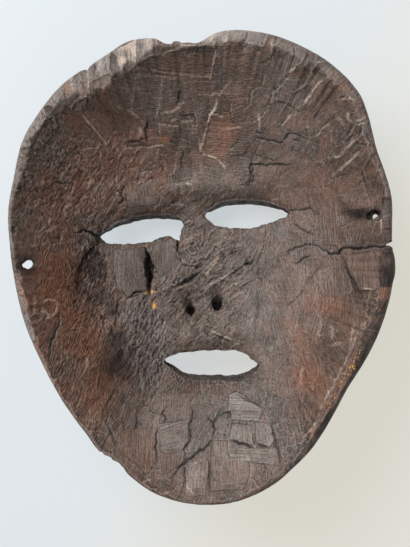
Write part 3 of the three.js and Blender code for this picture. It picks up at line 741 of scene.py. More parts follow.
def chips(x, y, field, number):
    """Flat cuts side by side: their relief, and the tone and direction of the cut at each point."""
    _, _, _, _, length, width, direction, tilt, drop = field
    turn = math.radians(direction)
    bend_x, bend_y = lump_noise(x, y + 31 * number, 22), lump_noise(x + 67, y, 22)
    along = ((x * math.cos(turn) + y * math.sin(turn)) + 4 * bend_x) / length
    across = ((y * math.cos(turn) - x * math.sin(turn)) + 3 * bend_y) / width
    i, j = np.floor(along).astype(int), np.floor(across).astype(int)
    side_u, side_v, tilt_u, tilt_v, height, tone, stray = chip_noises
    nearest = np.full(x.shape, FAR)
    found = [np.zeros_like(x) for _ in range(3)]
    for di in (-1, 0, 1):
        for dj in (-1, 0, 1):
            a, b = i + di, j + dj + 41 * number
            u = along - (i + di) - 0.5 - 0.42 * side_u.at(a, b)
            v = across - (j + dj) - 0.5 - 0.42 * side_v.at(a, b)
            away = np.maximum(np.abs(u + 0.25 * v), np.abs(v)) + 0.25 * np.hypot(u, v)
            nearer = away < nearest
            nearest = np.where(nearer, away, nearest)
            slope = tilt_u.at(a, b) * u * length + tilt_v.at(a, b) * v * width
            rise = drop * height.at(a, b) + tilt * slope
            values = (rise, tone.at(a, b), turn + 0.22 * stray.at(a, b))
            found = [np.where(nearer, value, old) for value, old in zip(values, found)]
    return found


def chip_relief(x, y):
    """The relief, tone, direction and field of the flat cuts over the whole hollow."""
    weights, reliefs, tones, turns = [], [], [], []
    for number, field in enumerate(CHIP_FIELDS):
        cx, cy, rx, ry = field[:4]
        reach = ((x - cx) / rx) ** 2 + ((y - cy) / ry) ** 2
        weights.append(np.exp(-reach * (1 + 0.3 * lump_noise(x, y, 10))) + 1e-6)
        relief, tone, turn = chips(x, y, field, number)
        fine = list(field)
        fine[4:6] = field[4] * 0.36, field[5] * 0.4
        small, small_tone, _ = chips(x, y, fine, number + 20)
        reliefs.append(relief + 0.45 * small)
        tones.append(0.6 * tone + 0.4 * small_tone)
        turns.append(turn)
    weights = np.array(weights) ** 3
    weights /= weights.sum(axis=0)
    first = np.argmax(weights, axis=0)
    turn = np.take_along_axis(np.array(turns), first[None], axis=0)[0]
    tone = np.take_along_axis(np.array(tones), first[None], axis=0)[0]
    return (weights * np.array(reliefs)).sum(axis=0), tone, turn, first


def make_nicks(fields):
    """All cuts of some fields, one row each: centre, half-length, half-width, depth and direction."""
    rng = np.random.default_rng(21)
    rows = []
    for cx, cy, rx, ry, count, half_length, half_width, depth, direction, stray in fields:
        reach, turn = np.sqrt(rng.random(count)), rng.uniform(0, 2 * np.pi, count)
        rows.append(
            np.column_stack(
                [
                    cx + rx * reach * np.cos(turn),
                    cy + ry * reach * np.sin(turn),
                    half_length * rng.uniform(0.5, 1.5, count),
                    half_width * rng.uniform(0.8, 1.3, count),
                    depth * rng.uniform(0.5, 1.4, count),
                    np.radians(direction + stray * rng.standard_normal(count)),
                ]
            )
        )
    return np.concatenate(rows)


def gouge(x, y, cuts):
    """How deep the deepest cut is at each point."""
    depth = np.zeros_like(x)
    order = np.argsort(x)
    ordered = x[order]
    for cx, cy, half_length, half_width, cut_depth, turn in cuts:
        first, last = np.searchsorted(ordered, (cx - half_length, cx + half_length))
        near = order[first:last]
        dx, dy = x[near] - cx, y[near] - cy
        along = (dx * math.cos(turn) + dy * math.sin(turn)) / half_length
        across = (dy * math.cos(turn) - dx * math.sin(turn)) / half_width
        depth[near] = np.maximum(depth[near], cut_depth * (1 - along**2 - across**2))
    return depth


def jagged(route, number, stray=0.75):
    """A route with the small turns that a crack takes from fibre to fibre."""
    points = resample(route, LINE_STEP, False)
    side = sideways(points)
    share = np.linspace(0, 1, len(points))
    length = LINE_STEP * len(points) * share
    row = 0 * length
    turns = edge_noise(length, 7.3 * number + row, 2.2)
    turns = turns + 0.6 * edge_noise(length + 50, 3.1 * number + row, 1.0)
    return points + side * (stray * turns * np.sin(np.pi * share) ** 0.4)[:, None]


def all_lines():
    """The line, half-width, depth and paleness of each crack, ridge and scratch."""
    for number, (route, half_width, depth) in enumerate(GROOVES):
        yield jagged(route, number), half_width, depth, 0
    for number, (route, half_width, depth, pale) in enumerate(LINES):
        stray = 0.3 if pale else min(0.6, 0.8 / half_width)
        points = jagged(from_picture(route), number + FIRST_LINE, stray)
        yield points, half_width * (0.7 if pale else 1), depth, pale


def facet_edges():
    """The edge of each single flat cut, as a closed loop."""
    for number, facet in enumerate(FACETS + RIM_CUTS):
        loop = resample(from_picture(facet[0]), EDGE_STEP, True)
        shift = [edge_noise(*(loop.T + 9 * number + step), 2.5) for step in (0, 50)]
        yield loop + 0.35 * np.column_stack(shift)


def sideways(points):
    """The direction to the left of a line at each of its points."""
    run = np.gradient(points, axis=0)
    run /= np.hypot(*run.T)[:, None]
    return np.column_stack([-run[:, 1], run[:, 0]])


def local_width(count, number, half_width):
    """How wide a crack is along its length, against its widest."""
    share = np.linspace(0, 1, count)
    waver = edge_noise(30 * share, 5.7 * number + 0 * share, 1.6) / max(1, half_width)
    return np.clip(np.sin(np.pi * share) ** 0.6 * (0.85 + 0.4 * waver), 0.12, 1.2)


def beside_line(x, y, points):
    """How far each point is from a line, where along it from 0 to 1, and on which side."""
    nearest, where, side = np.full(x.shape, FAR), np.zeros_like(x), np.ones_like(x)
    for k, ((x0, y0), (x1, y1)) in enumerate(zip(points, points[1:])):
        run_x, run_y = x1 - x0, y1 - y0
        s = np.clip(((x - x0) * run_x + (y - y0) * run_y) / (run_x**2 + run_y**2), 0, 1)
        away = np.hypot(x - x0 - s * run_x, y - y0 - s * run_y)
        nearer = away < nearest
        nearest = np.where(nearer, away, nearest)
        where = np.where(nearer, (k + s) / (len(points) - 1), where)
        side = np.where(nearer, np.sign(run_x * (y - y0) - run_y * (x - x0)), side)
    return nearest, where, side


def near_line(x, y, points, reach):
    """Which points lie in the box round a line."""
    low, high = points.min(axis=0) - reach, points.max(axis=0) + reach
    return np.flatnonzero((x > low[0]) & (x < high[0]) & (y > low[1]) & (y < high[1]))


def line_marks(x, y):
    """The depth of the cracks, their soot and painted shade, and how pale the ridges and scratches are.
    """
    depth, soot_and_shade, pale = (np.zeros_like(x) for _ in range(3))
    for number, (points, half_width, full_depth, shine) in enumerate(all_lines()):
        near = near_line(x, y, points, half_width + 2)
        away, where, _ = beside_line(x[near], y[near], points)
        width = local_width(len(points), number, half_width)
        strength = np.interp(where, np.linspace(0, 1, len(width)), width)
        half = half_width * strength
        steep = 1.7 if half_width > WIDE_GASH else 1
        shape = np.clip(steep * (1 - away / np.maximum(half, 0.3)), 0, 1)
        depth[near] += full_depth * strength * shape
        if shine:
            # Pale along raised ridges and scratches: partly pale wood, partly painted highlight.
            light = np.clip(1.25 - away / half_width, 0, 1) * np.clip(0.3 + strength, 0, 1)
            broken = np.clip(0.8 + 0.9 * edge_noise(x[near] + 13, y[near], 1.6), 0.15, 1)
            pale[near] = np.maximum(pale[near], shine * light * broken)
        else:
            dark = np.clip(1.2 - away / (half + 0.4), 0, 1) * np.clip(0.5 + 0.5 * full_depth, 0, 1)
            soot_and_shade[near] = np.maximum(soot_and_shade[near], dark * np.clip(0.4 + strength, 0, 1))
    return depth, soot_and_shade, pale


def facet_marks(x, y, turns):
    """What the single flat cuts add: rise, wear, warmth, soot, and how plain the wood is in them.

    The direction of the lines in each of them is put into turns.
    """
    found = {name: np.zeros_like(x) for name in ("rise", "worn", "warm", "soot_and_shade", "plain")}
    for number, (loop, facet) in enumerate(zip(facet_edges(), FACETS + RIM_CUTS)):
        _, direction, height, *shades = facet
        near = near_line(x, y, loop, 0)
        near = near[inside_loop(x[near], y[near], loop)]
        off = np.column_stack([x[near], y[near]]) - loop.mean(axis=0)
        lean_turn = np.pi * chip_noises[0].at(number, 3)
        lean = off @ np.array([math.cos(lean_turn), math.sin(lean_turn)]) / np.ptp(loop, axis=0).max()
        found["rise"][near] = height * np.clip(0.6 + 1.1 * lean, 0, 1.2)
        mottle = 0.9 + 0.35 * lean + 0.35 * lump_noise(x[near], y[near] + 50, 4)
        for name, value in zip(("worn", "warm", "soot_and_shade"), shades):
            found[name][near] = value * mottle
        found["plain"][near] = 0.8 if number < len(FACETS) else 0.3
        turns[near] = math.radians(direction)
    return found


def ledge_rise(x, y):
    """The rise of the ledges and the painted shadow along their foot."""
    rise, soot_and_shade = np.zeros_like(x), np.zeros_like(x)
    for number, (route, height, reach) in enumerate(LEDGES):
        points = jagged(route, number + FIRST_LEDGE)
        near = near_line(x, y, points, reach + 2)
        away, where, side = beside_line(x[near], y[near], points)
        ends = np.clip(np.minimum(where, 1 - where) * 5, 0, 1)
        if height < 0:
            side = -side
        size = abs(height) * ends
        high = size * np.clip(1 - away / reach, 0, 1) ** 1.5
        rise[near] += np.where(side > 0, high, -0.35 * size * np.exp(-((away / 2.2) ** 2)))
        # A painted shadow along the foot of the low side.
        foot = np.where(side > 0, 0, np.exp(-((away / 1.1) ** 2)))
        soot_and_shade[near] = np.maximum(soot_and_shade[near], 0.75 * foot * ends * min(1, max(0, abs(height) - 0.8)))
    return rise, soot_and_shade


def knot_rise(x, y):
    """The swirl of a knot beside the nose."""
    cx, cy, reach = KNOT
    away = np.hypot(x - cx, (y - cy) * 0.9)
    turn = np.arctan2(y - cy, x - cx)
    rings = np.cos(2 * np.pi * away / KNOT_RING + 0.8 * np.sin(2 * turn) + 3 * lump_noise(x, y, 4.5))
    return np.clip(1 - (away / reach) ** 2, 0, 1) * (0.36 * rings + 0.5)


def resample(points, spacing, closed):
    """Evenly spaced points along a line through the given ones."""
    points = np.array(points, float)
    if closed:
        points = np.vstack([points, points[:1]])
    length = np.concatenate([[0], np.cumsum(np.hypot(*np.diff(points, axis=0).T))])
    count = max(2, int(round(length[-1] / spacing)))
    at = np.linspace(0, length[-1], count, endpoint=not closed)
    return np.column_stack([np.interp(at, length, points[:, 0]), np.interp(at, length, points[:, 1])])


def rounded_loop(points, spacing):
    """A closed loop that curves smoothly through the given points."""
    points = np.array(points, float)
    gaps = np.hypot(*(np.roll(points, -1, axis=0) - points).T)
    length = np.concatenate([[0], np.cumsum(gaps)])
    degrees = 360 * length[:-1] / length[-1]
    curves = [closed_curve(list(zip(degrees, points[:, axis]))) for axis in (0, 1)]
    turn = np.linspace(0, 360, 720, endpoint=False)
    return resample(np.column_stack([curve(turn) for curve in curves]), spacing, True)


def slot_path(points, lean, spacing):
    """The walls of an eye or the mouth as a function from depth to a loop of x and y."""
    loop = rounded_loop(points, spacing)
    loop = loop + 0.45 * np.column_stack([edge_noise(*loop.T, 2.6), edge_noise(*(loop.T + 70), 2.6)])
    given = np.array(points)
    corners = given[[np.argmin(given[:, 0]), np.argmax(given[:, 0])]]
    along = (loop[:, 0] - corners[0, 0]) / (corners[1, 0] - corners[0, 0])
    off_middle = (loop[:, 1] - corners[0, 1] - along * (corners[1, 1] - corners[0, 1])) * np.sign(lean)
    weight = smooth(off_middle / (0.7 * off_middle.max()))
    middle = corners.mean(axis=0)
    front_z, inner_z = face_z(*middle), hollow_z(*middle)

    def path(z):
        share = np.clip((z - front_z) / (inner_z - front_z), 0, 1.15)
        return loop[:, 0] + 0 * z, loop[:, 1] + lean * share * weight

    return path, len(loop)


def tapered_path(entry, exit_, entry_half, exit_half, spacing):
    """The walls of a tapering hole as a function from depth to a loop of x and y."""
    count = max(14, int(round(2 * np.pi * max(entry_half) / spacing)))
    turn = np.linspace(0, 2 * np.pi, count, endpoint=False)
    waver = 1 + 0.22 * edge_noise(entry[0] + 3 * np.cos(turn), entry[1] + 3 * np.sin(turn), 1.7)

    def path(z):
        s = (z - entry[2]) / (exit_[2] - entry[2])
        x = entry[0] + s * (exit_[0] - entry[0])
        y = entry[1] + s * (exit_[1] - entry[1])
        rx = entry_half[0] + s * (exit_half[0] - entry_half[0])
        ry = entry_half[1] + s * (exit_half[1] - entry_half[1])
        return x + waver * rx * np.cos(turn), y + waver * ry * np.sin(turn)

    return path, count


def nostril_path(x, y, half_x, half_y, spacing):
    """The same for a nostril, which runs down and towards the chin."""

    def at(rise):
        return (x - NOSTRIL_RUN[0] * rise, y - NOSTRIL_RUN[1] * rise, NOSTRIL_ENTRY_Z + rise)

    wide = (half_x + 0.5, half_y + 0.5)
    return tapered_path(at(8), at(-44), wide, (half_x, half_y), spacing)


def meet(surface, path, count, depths):
    """Where each line down a hole's wall first meets a surface, going through the given depths."""
    depths = np.asarray(depths, float)
    xs, ys = np.empty((len(depths), count)), np.empty((len(depths), count))
    for row, z in enumerate(depths):
        xs[row], ys[row] = path(z)
    gap = surface(xs, ys) - depths[:, None]
    crossed = (gap[1:] * gap[:-1]) <= 0
    row = np.argmax(crossed, axis=0)
    column = np.arange(count)
    before, after = gap[row, column], gap[row + 1, column]
    s = before / (before - after)
    x = xs[row, column] + s * (xs[row + 1, column] - xs[row, column])
    y = ys[row, column] + s * (ys[row + 1, column] - ys[row, column])
    return np.column_stack([x, y])


def inside_loop(x, y, loop):
    """Whether each point lies inside a closed loop."""
    inside = np.zeros(x.shape, bool)
    for (x0, y0), (x1, y1) in zip(loop, np.roll(loop, -1, axis=0)):
        if y0 != y1:
            crosses = (y0 > y) != (y1 > y)
            inside ^= crosses & (x < (x1 - x0) * (y - y0) / (y1 - y0) + x0)
    return inside


def from_angle(degrees, centre, reach):
    """How far angles lie from a middle one, the short way round, against a reach."""
    return (np.mod(degrees - centre + 180, 360) - 180) / reach


def chipped_radius(degrees):
    """The outline with the small bites and splinters that its edge has lost."""
    loss = 0.05 + 0.2 * edge_noise(degrees, 0 * degrees, 1.3)
    ragged = 1 + edge_noise(degrees, 5 + 0 * degrees, 0.9)
    for centre, reach, bite in RIM_BITES:
        loss = loss + bite * np.exp(-(from_angle(degrees, centre, reach) ** 2)) * ragged
    return outline_radius(degrees) + rim_swell(degrees) - np.maximum(loss, 0.05)


def rim_swell(degrees):
    """How far the rim swells out beyond the solid's."""
    return sum(rise * arc(degrees, centre, reach) for centre, reach, rise in RIM_SWELLS)


def on_solid(x, y):
    """Where on the solid a place of the swollen mask belongs."""
    degrees = polar(x, y)[1]
    radius = outline_radius(degrees)
    share = radius / (radius + rim_swell(degrees))
    return x * share, y * share


def outline_loop(spacing):
    """The outline as a closed loop, with the split cut into it."""
    split = np.array(RIM_SPLIT, float)
    inward = resample(split[:, :2], spacing, False)
    half = np.interp(-inward[:, 0], -split[:, 0], split[:, 2])
    half = np.column_stack([0 * half, half])
    upper, lower = inward + half, inward - half
    start, end = polar(*upper[0])[1], polar(*lower[0])[1] + 360
    degrees = np.linspace(start, end, 4000)
    rim = resample(around(chipped_radius(degrees), degrees), spacing, False)
    return np.vstack([rim, lower[1:], upper[:0:-1]])


def lattice(spacing, margin):
    """Points of a triangular lattice that lie more than a margin inside the outline."""
    reach_x, reach_y = GRID_REACH
    rows = np.arange(-reach_y, reach_y, spacing * math.sqrt(0.75))
    columns = np.arange(-reach_x, reach_x, spacing)
    x, y = np.meshgrid(columns, rows)
    x = x + (np.arange(len(rows)) % 2)[:, None] * 0.5 * spacing
    radius, degrees = polar(x, y)
    inside = radius < outline_radius(degrees) - margin
    return np.column_stack([x[inside], y[inside]])


def in_wood(points, loops):
    """Whether each point lies inside the first loop and outside the others."""
    inside = inside_loop(*points.T, loops[0])
    for hole in loops[1:]:
        inside &= ~inside_loop(*points.T, hole)
    return inside


def gap_between(points, others):
    """How far each point is from the nearest of some others."""
    tree = KDTree(len(others))
    for i, (x, y) in enumerate(others):
        tree.insert((x, y, 0), i)
    tree.balance()
    return np.array([tree.find((x, y, 0))[2] for x, y in points])


def ground_plan(loops, lines, points, spacing):
    """Triangles between closed loops, the first of which is the outline and the others holes.

    Returns the points, the triangles and, for each loop, the places of its points among them.
    """
    fixed = np.vstack([*loops, *lines])
    points = points[in_wood(points, loops)]
    points = points[gap_between(points, fixed) > 0.6 * spacing]

    edges, starts, start = [], [], 0
    for line, closed in [(loop, True) for loop in loops] + [(line, False) for line in lines]:
        count = len(line)
        edges += [(start + i, start + i + 1) for i in range(count - 1)]
        if closed:
            edges.append((start + count - 1, start))
        starts.append(start)
        start += count
    given = [Vector(point) for point in np.vstack([fixed, points])]
    made, _, faces, owners, _, _ = delaunay_2d_cdt(given, edges, [], 1, 1e-3)
    made = np.array([point[:] for point in made])
    faces = np.array([face[:3] for face in faces])
    place = np.zeros(len(given), int)
    for new, olds in enumerate(owners):
        place[olds] = new
    faces = faces[in_wood(made[faces].mean(axis=1), loops)]
    spots = [place[start : start + len(loop)] for start, loop in zip(starts, loops)]
    return made, faces, spots


def edge_lines(spacing):
    """Lines that sharpen the mesh: the inner edge of the rim and rows close to the outline."""
    degrees = np.linspace(*RIM_ROW_ENDS, 3000)
    insets = (cut_rim_width(degrees), *RIM_ROWS)
    lines = [around(chipped_radius(degrees) - inset, degrees) for inset in insets]
    return [resample(line, spacing, False) for line in lines]


def crack_lines():
    """The middle line and both lips of each crack, so that the mesh follows them."""
    lines = []
    for number, (middle, half_width, _, pale) in enumerate(all_lines()):
        if pale:
            side = 0.5 * sideways(middle) * half_width
            lines += [middle + side, middle - side]
        else:
            width = half_width * local_width(len(middle), number, half_width) + 0.1
            side = sideways(middle) * width[:, None]
            lines += [middle, middle + side, middle - side]
    for number, (route, _, _) in enumerate(LEDGES):
        middle = jagged(route, number + FIRST_LEDGE)
        side = 0.35 * sideways(middle)
        lines += [middle + side, middle - side]
    for loop in facet_edges():
        closed = np.vstack([loop, loop[:1]])
        side = 0.3 * sideways(closed)
        lines += [closed + side, closed - side]
    return lines


def clear_lines(lines, loops, room):
    """The stretches of some lines that lie inside the first loop and well clear of every loop."""
    points = np.vstack(lines)
    clear = in_wood(points, loops) & (gap_between(points, np.vstack(loops)) > room)
    ends = np.cumsum([len(line) for line in lines])
    kept = []
    for line, keep in zip(lines, np.split(clear, ends[:-1])):
        edges = np.flatnonzero(np.diff(np.concatenate([[0], keep, [0]])))
        kept += [line[a:b] for a, b in zip(edges[::2], edges[1::2]) if b - a > 1]
    return kept


def rim_facet(degrees, number):
    """A random value from -1 to 1 for each facet of the rim."""
    strayed = degrees + RIM_FACET * edge_noise(degrees, 11 + 0 * degrees, 2.5 * RIM_FACET)
    cell = np.floor(strayed / RIM_FACET).astype(int)
    return chip_noises[number].at(cell, 7 + 0 * cell)


def cut_rim_width(degrees):
    """The width of the rim, which changes a little from facet to facet."""
    degrees = np.mod(degrees, 360)
    stray = RIM_STRAY * rim_facet(degrees, 0) + 0.12 * edge_noise(degrees, 0 * degrees, 1.1)
    return rim_width(degrees) * (1 + stray)


def rim_share(x, y):
    """How far across the rim a point lies, from 0 at its inner edge to 1 at the outline."""
    radius, degrees = polar(x, y)
    width = cut_rim_width(degrees)
    return (radius - outline_radius(degrees)) / width + 1


def arc(degrees, centre, reach):
    """A soft stretch of the rim round an angle."""
    return np.exp(-(from_angle(degrees, centre, reach) ** 4))


def neighbour_mean(values, faces):
    """The mean of each point's neighbours."""
    total, count = np.zeros_like(values), np.zeros_like(values)
    for a, b in ((0, 1), (1, 2), (2, 0), (1, 0), (2, 1), (0, 2)):
        np.add.at(total, faces[:, a], values[faces[:, b]])
        np.add.at(count, faces[:, a], 1)
    return total / np.maximum(count, 1)


class Shell:
    """Collects the points, faces and surface marks of the mask."""

    # ridge is high on ridges and low in hollows: the wood is painted lighter on ridges, partly as wear
    # and partly as painted highlight, and darker in hollows with soot and painted shade.
    MARKS = ("soot_and_shade", "warm", "worn", "ridge", "tone", "fibre", "ochre", "pale", "plain")

    def __init__(self):
        self.points, self.faces, self.marks, self.turns, self.owners = [], [], [], [], []
        self.count = 0

    def add_points(self, points, marks):
        """Adds points with their marks, and returns the number of the first."""
        start = self.count
        self.points.append(points)
        unmarked = np.zeros(len(points))
        self.marks.append(np.column_stack([marks.get(name, unmarked) for name in self.MARKS]))
        self.count += len(points)
        return start

    def add_faces(self, faces, turns, owners):
        """Adds faces, with the direction of the cut that each lies in and its field of cuts."""
        self.faces.append(faces)
        self.turns.append(turns)
        self.owners.append(owners)

    def bridge(self, upper, lower, rows, outward, soot_and_shade):
        """A wall of the given number of rows between two loops of points."""
        points, marks = np.vstack(self.points), np.vstack(self.marks)
        top, bottom, above = points[upper], points[lower], marks[upper]
        inner = []
        for row in range(1, rows):
            s = row / rows
            wall = top * (1 - s) + bottom * s
            swell = np.sin(np.pi * s) * np.minimum(0.8, 0.08 * np.abs(top[:, 2] - bottom[:, 2]))
            wall_x, wall_y, wall_z = wall.T
            sides = ((wall_x, wall_y), (wall_y, wall_x))
            rough = [edge_noise(a + wall_z, b - wall_z, 1.9) for a, b in sides]
            wall = wall + np.column_stack([*(swell * side for side in rough), 0 * swell])
            found = dict(zip(self.MARKS, above.T))
            # Walls are painted darker below their top edge, as painted shade in the openings.
            found["soot_and_shade"] = np.maximum(found["soot_and_shade"], soot_and_shade * smooth(3.5 * s)) * (0.88 + 0.22 * rough[0])
            found["ridge"] = 0.5 + 0.3 * rough[1]
            found["worn"] = 0.3 * found["worn"]
            inner.append(self.add_points(wall, found) + np.arange(len(wall)))
        levels = [upper, *inner, lower]
        for high, low in zip(levels, levels[1:]):
            high_next, low_next = np.roll(high, -1), np.roll(low, -1)
            corners = ((high, low, low_next), (high, low_next, high_next))
            pair = np.vstack([np.column_stack(corner) for corner in corners])
            turns, owners = np.full(len(pair), np.pi / 2), np.zeros(len(pair), int)
            self.add_faces(pair if outward else pair[:, ::-1], turns, owners)


# Colour patches in the hollow: centre, half-sizes and strength.
WARM_PATCHES = (
    (20, 84, 13, 22, 0.2), (-20, 92, 34, 30, 0.15), (66, 40, 26, 30, 0.2), (-92, 0, 14, 26, 0.6),
    (-82, -30, 16, 30, 0.65), (-74, -60, 16, 20, 0.6), (54, -74, 12, 12, 0.45), (84, -34, 10, 20, 0.1),
    (-44, 62, 26, 20, 0.4), (-84, 46, 18, 22, 0.5), (-46, -96, 14, 16, 0.4), (54, -24, 16, 30, 0.15),
    (-62, 70, 26, 24, 0.2), (-68, -24, 12, 24, 0.35), (-22, 6, 6, 10, 0.2), (-72, 8, 10, 16, 0.4),
    (-80, 10, 7, 12, 0.4), (-78, -25, 7, 12, 0.3), (66, -31, 11, 6, 0.55), (43, -40, 5, 5, 0.35),
    (48, -47, 5, 5, 0.4), (53.5, -54, 6, 6, 0.35), (48, -70, 7, 9, 0.35), (-93, 16, 7, 9, 0.5),
    (-86, -16, 6, 12, 0.45), (-30, 82, 10, 5, 0.4), (-40, 96, 20, 12, 0.15), (-14.6, 16, 6, 5, 0.15),
    (97.7, -27.5, 3, 3.6, 0.9), (6, -10, 26, 26, -0.2), (2, -88, 34, 16, -0.12), (-62, -20, 12, 30, 0.2),
)
WORN_PATCHES = (
    (8, -94, 30, 24, 0.35), (-24, -100, 22, 20, 0.3), (30, -40, 16, 40, 0.25),
    (62, 4, 26, 26, 0.25), (20, 20, 40, 20, 0.08), (44, 52, 34, 20, 0.18), (-42, -40, 12, 26, 0.2),
    (0, 96, 70, 26, 0.16), (60, 84, 26, 26, 0.12), (14, 54, 10, 10, 0.25), (64, 112, 40, 22, 0.2),
    (-23, 8, 9, 10, 0.35), (-42, -92, 18, 16, 0.7), (-30, 108, 20, 14, 0.2),
)
# Most dark patches are painted shade: in the troughs of the left cheek and beside the mouth, along the
# brows above the eyes, at the corner of the left eye, above the mouth and round the nostrils, the tie
# holes and a pit. The rest are darker wood.
SHADE_AND_DARK_PATCHES = (
    (-70, 13, 8, 12, 0.8), (-74, 0, 8, 12, 0.7), (-66, -18, 9, 20, 0.75), (-62, -40, 9, 24, 0.85),
    (-64, 6, 6, 12, 0.35), (-24, 122, 40, 10, 0.15), (-46, -62, 12, 10, 0.4), (0, -46, 34, 4, 0.35),
    (-74, -57, 12, 12, 0.25), (-42, -40, 12, 24, 0.32), (88, 21, 9, 5, 0.5),
    (46, 64, 18, 8, 0.3), (-72, 28, 14, 4, 0.55), (-90, 84, 20, 30, 0.15), (-14.4, -22, 3.6, 5.4, 0.5),
    (3.4, -20, 4.2, 6.4, 0.5), (93, 19, 7, 3.4, 0.9), (-100.5, 15, 7, 6, 1.0), (-38, 40, 30, 3.5, 0.45),
    (28, 42, 26, 3.5, 0.35), (-16, 106, 34, 14, 0.15), (40, -6, 5, 12, 0.2), (27, -1, 2.4, 2, 0.9),
    (-20, 30, 8, 10, 0.2), (64, -2, 10, 5, 0.25), (-84, 12, 7, 12, 0.4), (-44, -36, 9, 22, 0.3),
    (-61, 26.5, 4.5, 3.5, 0.9), (93, 38, 12, 14, 0.15),
)
FIBROUS_PATCHES = (
    (-42, -40, 13, 28, 0.8), (-82, -26, 18, 50, 0.55), (0, -4, 36, 28, 0.45), (-80, 66, 26, 36, 0.45),
    (-68, -2, 12, 30, 1.0), (-30, -60, 10, 8, 0.4), (8, -92, 30, 24, 0.2),
)
# Specks of ochre powder: place in the picture, radius in millimetres and strength.
OCHRE_SPOTS = (
    (146, 293, 1.0, 0.8), (152.5, 292, 1.2, 0.9), (154.3, 306.5, 1.6, 1.2), (153.5, 302, 0.8, 0.8),
    (160, 302, 0.7, 0.5), (164, 299, 0.6, 0.5), (383, 293, 2.4, 0.15), (360, 352, 2.2, 0.3),
    (356, 360, 2.2, 0.35), (351.5, 368, 2.2, 0.4), (346.5, 376, 2.2, 0.4), (341, 385, 2.2, 0.4),
    (335, 395, 2.2, 0.35), (329, 404, 2, 0.3), (370, 320, 2.4, 0.25), (379, 309, 2, 0.3),
)
# Colour along the rim: the middle angle of a stretch, its reach, and how worn, warm and dark it is.
# On the right side, which faces away from the lamp, the darkness is partly painted shade.
RIM_STRETCHES = (
    (56, 14, 0.2, 0.1, 0.25), (28, 18, 0.2, 0.1, 0.35),
    (150, 17, 0.6, 0.05, 0.1), (184, 18, 0.4, 0.1, 0.25), (206, 8, 0.5, 0.4, 0),
    (226, 14, 0.3, 0.3, 0.3), (181, 4, 0.1, 0.8, -0.2), (262, 24, 0.15, 0.2, 0.4),
    (318, 20, 0.02, 0.1, 0.4), (352, 10, 0.02, 0.1, 0.4),
)


def rim_marks(x, y):
    """How worn, warm and dark the rim is."""
    share = rim_share(x, y)
    degrees = polar(x, y)[1]
    band = smooth(share * 5 + 0.6)
    outer = smooth(share * 2.5 - 0.9)
    streak = 0.75 + 0.35 * rim_facet(degrees, 1) + 0.3 * edge_noise(degrees, 0 * degrees, 0.8)
    worn, warm, dark = (sum(arc(degrees, s[0], s[1]) * s[k] for s in RIM_STRETCHES) for k in (2, 3, 4))
    inner_warm = warm * (1 - 0.8 * outer)
    return band * worn * streak, band * inner_warm * streak, band * (dark + 0.5 * warm * outer)


def ochre_marks(x, y):
    """How much ochre powder lies at each point."""
    places = from_picture([spot[:2] for spot in OCHRE_SPOTS])
    powder = sum(hill(x, y, (*place, spot[2], *spot[2:])) for place, spot in zip(places, OCHRE_SPOTS))
    return np.clip(powder, 0, 1)


def top_marks(x, y, relief, faces, tone, soot_and_shade, pale, flat):
    """How worn and warm each point of the hollow is, how dark with soot and painted shade, and how light.
    """
    ridge = relief - neighbour_mean(relief, faces)
    rim_worn, rim_warm, rim_dark = rim_marks(x, y)
    warm = sum(hill(x, y, form) for form in WARM_PATCHES)
    worn = sum(hill(x, y, form) for form in WORN_PATCHES)
    dark = sum(hill(x, y, form) for form in SHADE_AND_DARK_PATCHES)
    fibrous = sum(hill(x, y, form) for form in FIBROUS_PATCHES)
    blotch = lump_noise(x + 40, y, 9) + 0.6 * lump_noise(x, y + 90, 3.5)
    outside = 1 - 0.7 * flat["plain"]
    warm = outside * warm + flat["warm"]
    worn = outside * worn + flat["worn"]
    dark = np.maximum(outside * dark, flat["soot_and_shade"])
    return {
        # Soot and painted shade: in the cracks, along the foot of the ledges, in the troughs, along the
        # brows and round the holes, in some flat cuts and on stretches of the rim.
        "soot_and_shade": np.clip(np.maximum(soot_and_shade, dark * (0.8 + 0.5 * blotch)) + 0.5 * rim_dark, 0, 1),
        "warm": np.clip(warm * (0.9 + 0.5 * tone) + 0.16 * blotch + rim_warm, 0, 1),
        "worn": np.clip(worn * (0.85 + 0.3 * blotch) + rim_worn, 0, 1),
        # High on ridges and low in hollows, for the painted highlight and painted shade of the wood.
        "ridge": np.clip(0.5 + 1.7 * ridge, 0, 1),
        "tone": np.clip(0.5 + 0.5 * tone * (1 - 0.6 * flat["plain"]), 0, 1),
        "fibre": 0.2 + np.clip(fibrous, 0, 1) * (1 - flat["plain"]),
        "ochre": ochre_marks(x, y),
        "pale": np.maximum(pale, np.clip(flat["worn"] - 1, 0, 1)),
        "plain": flat["plain"],
    }


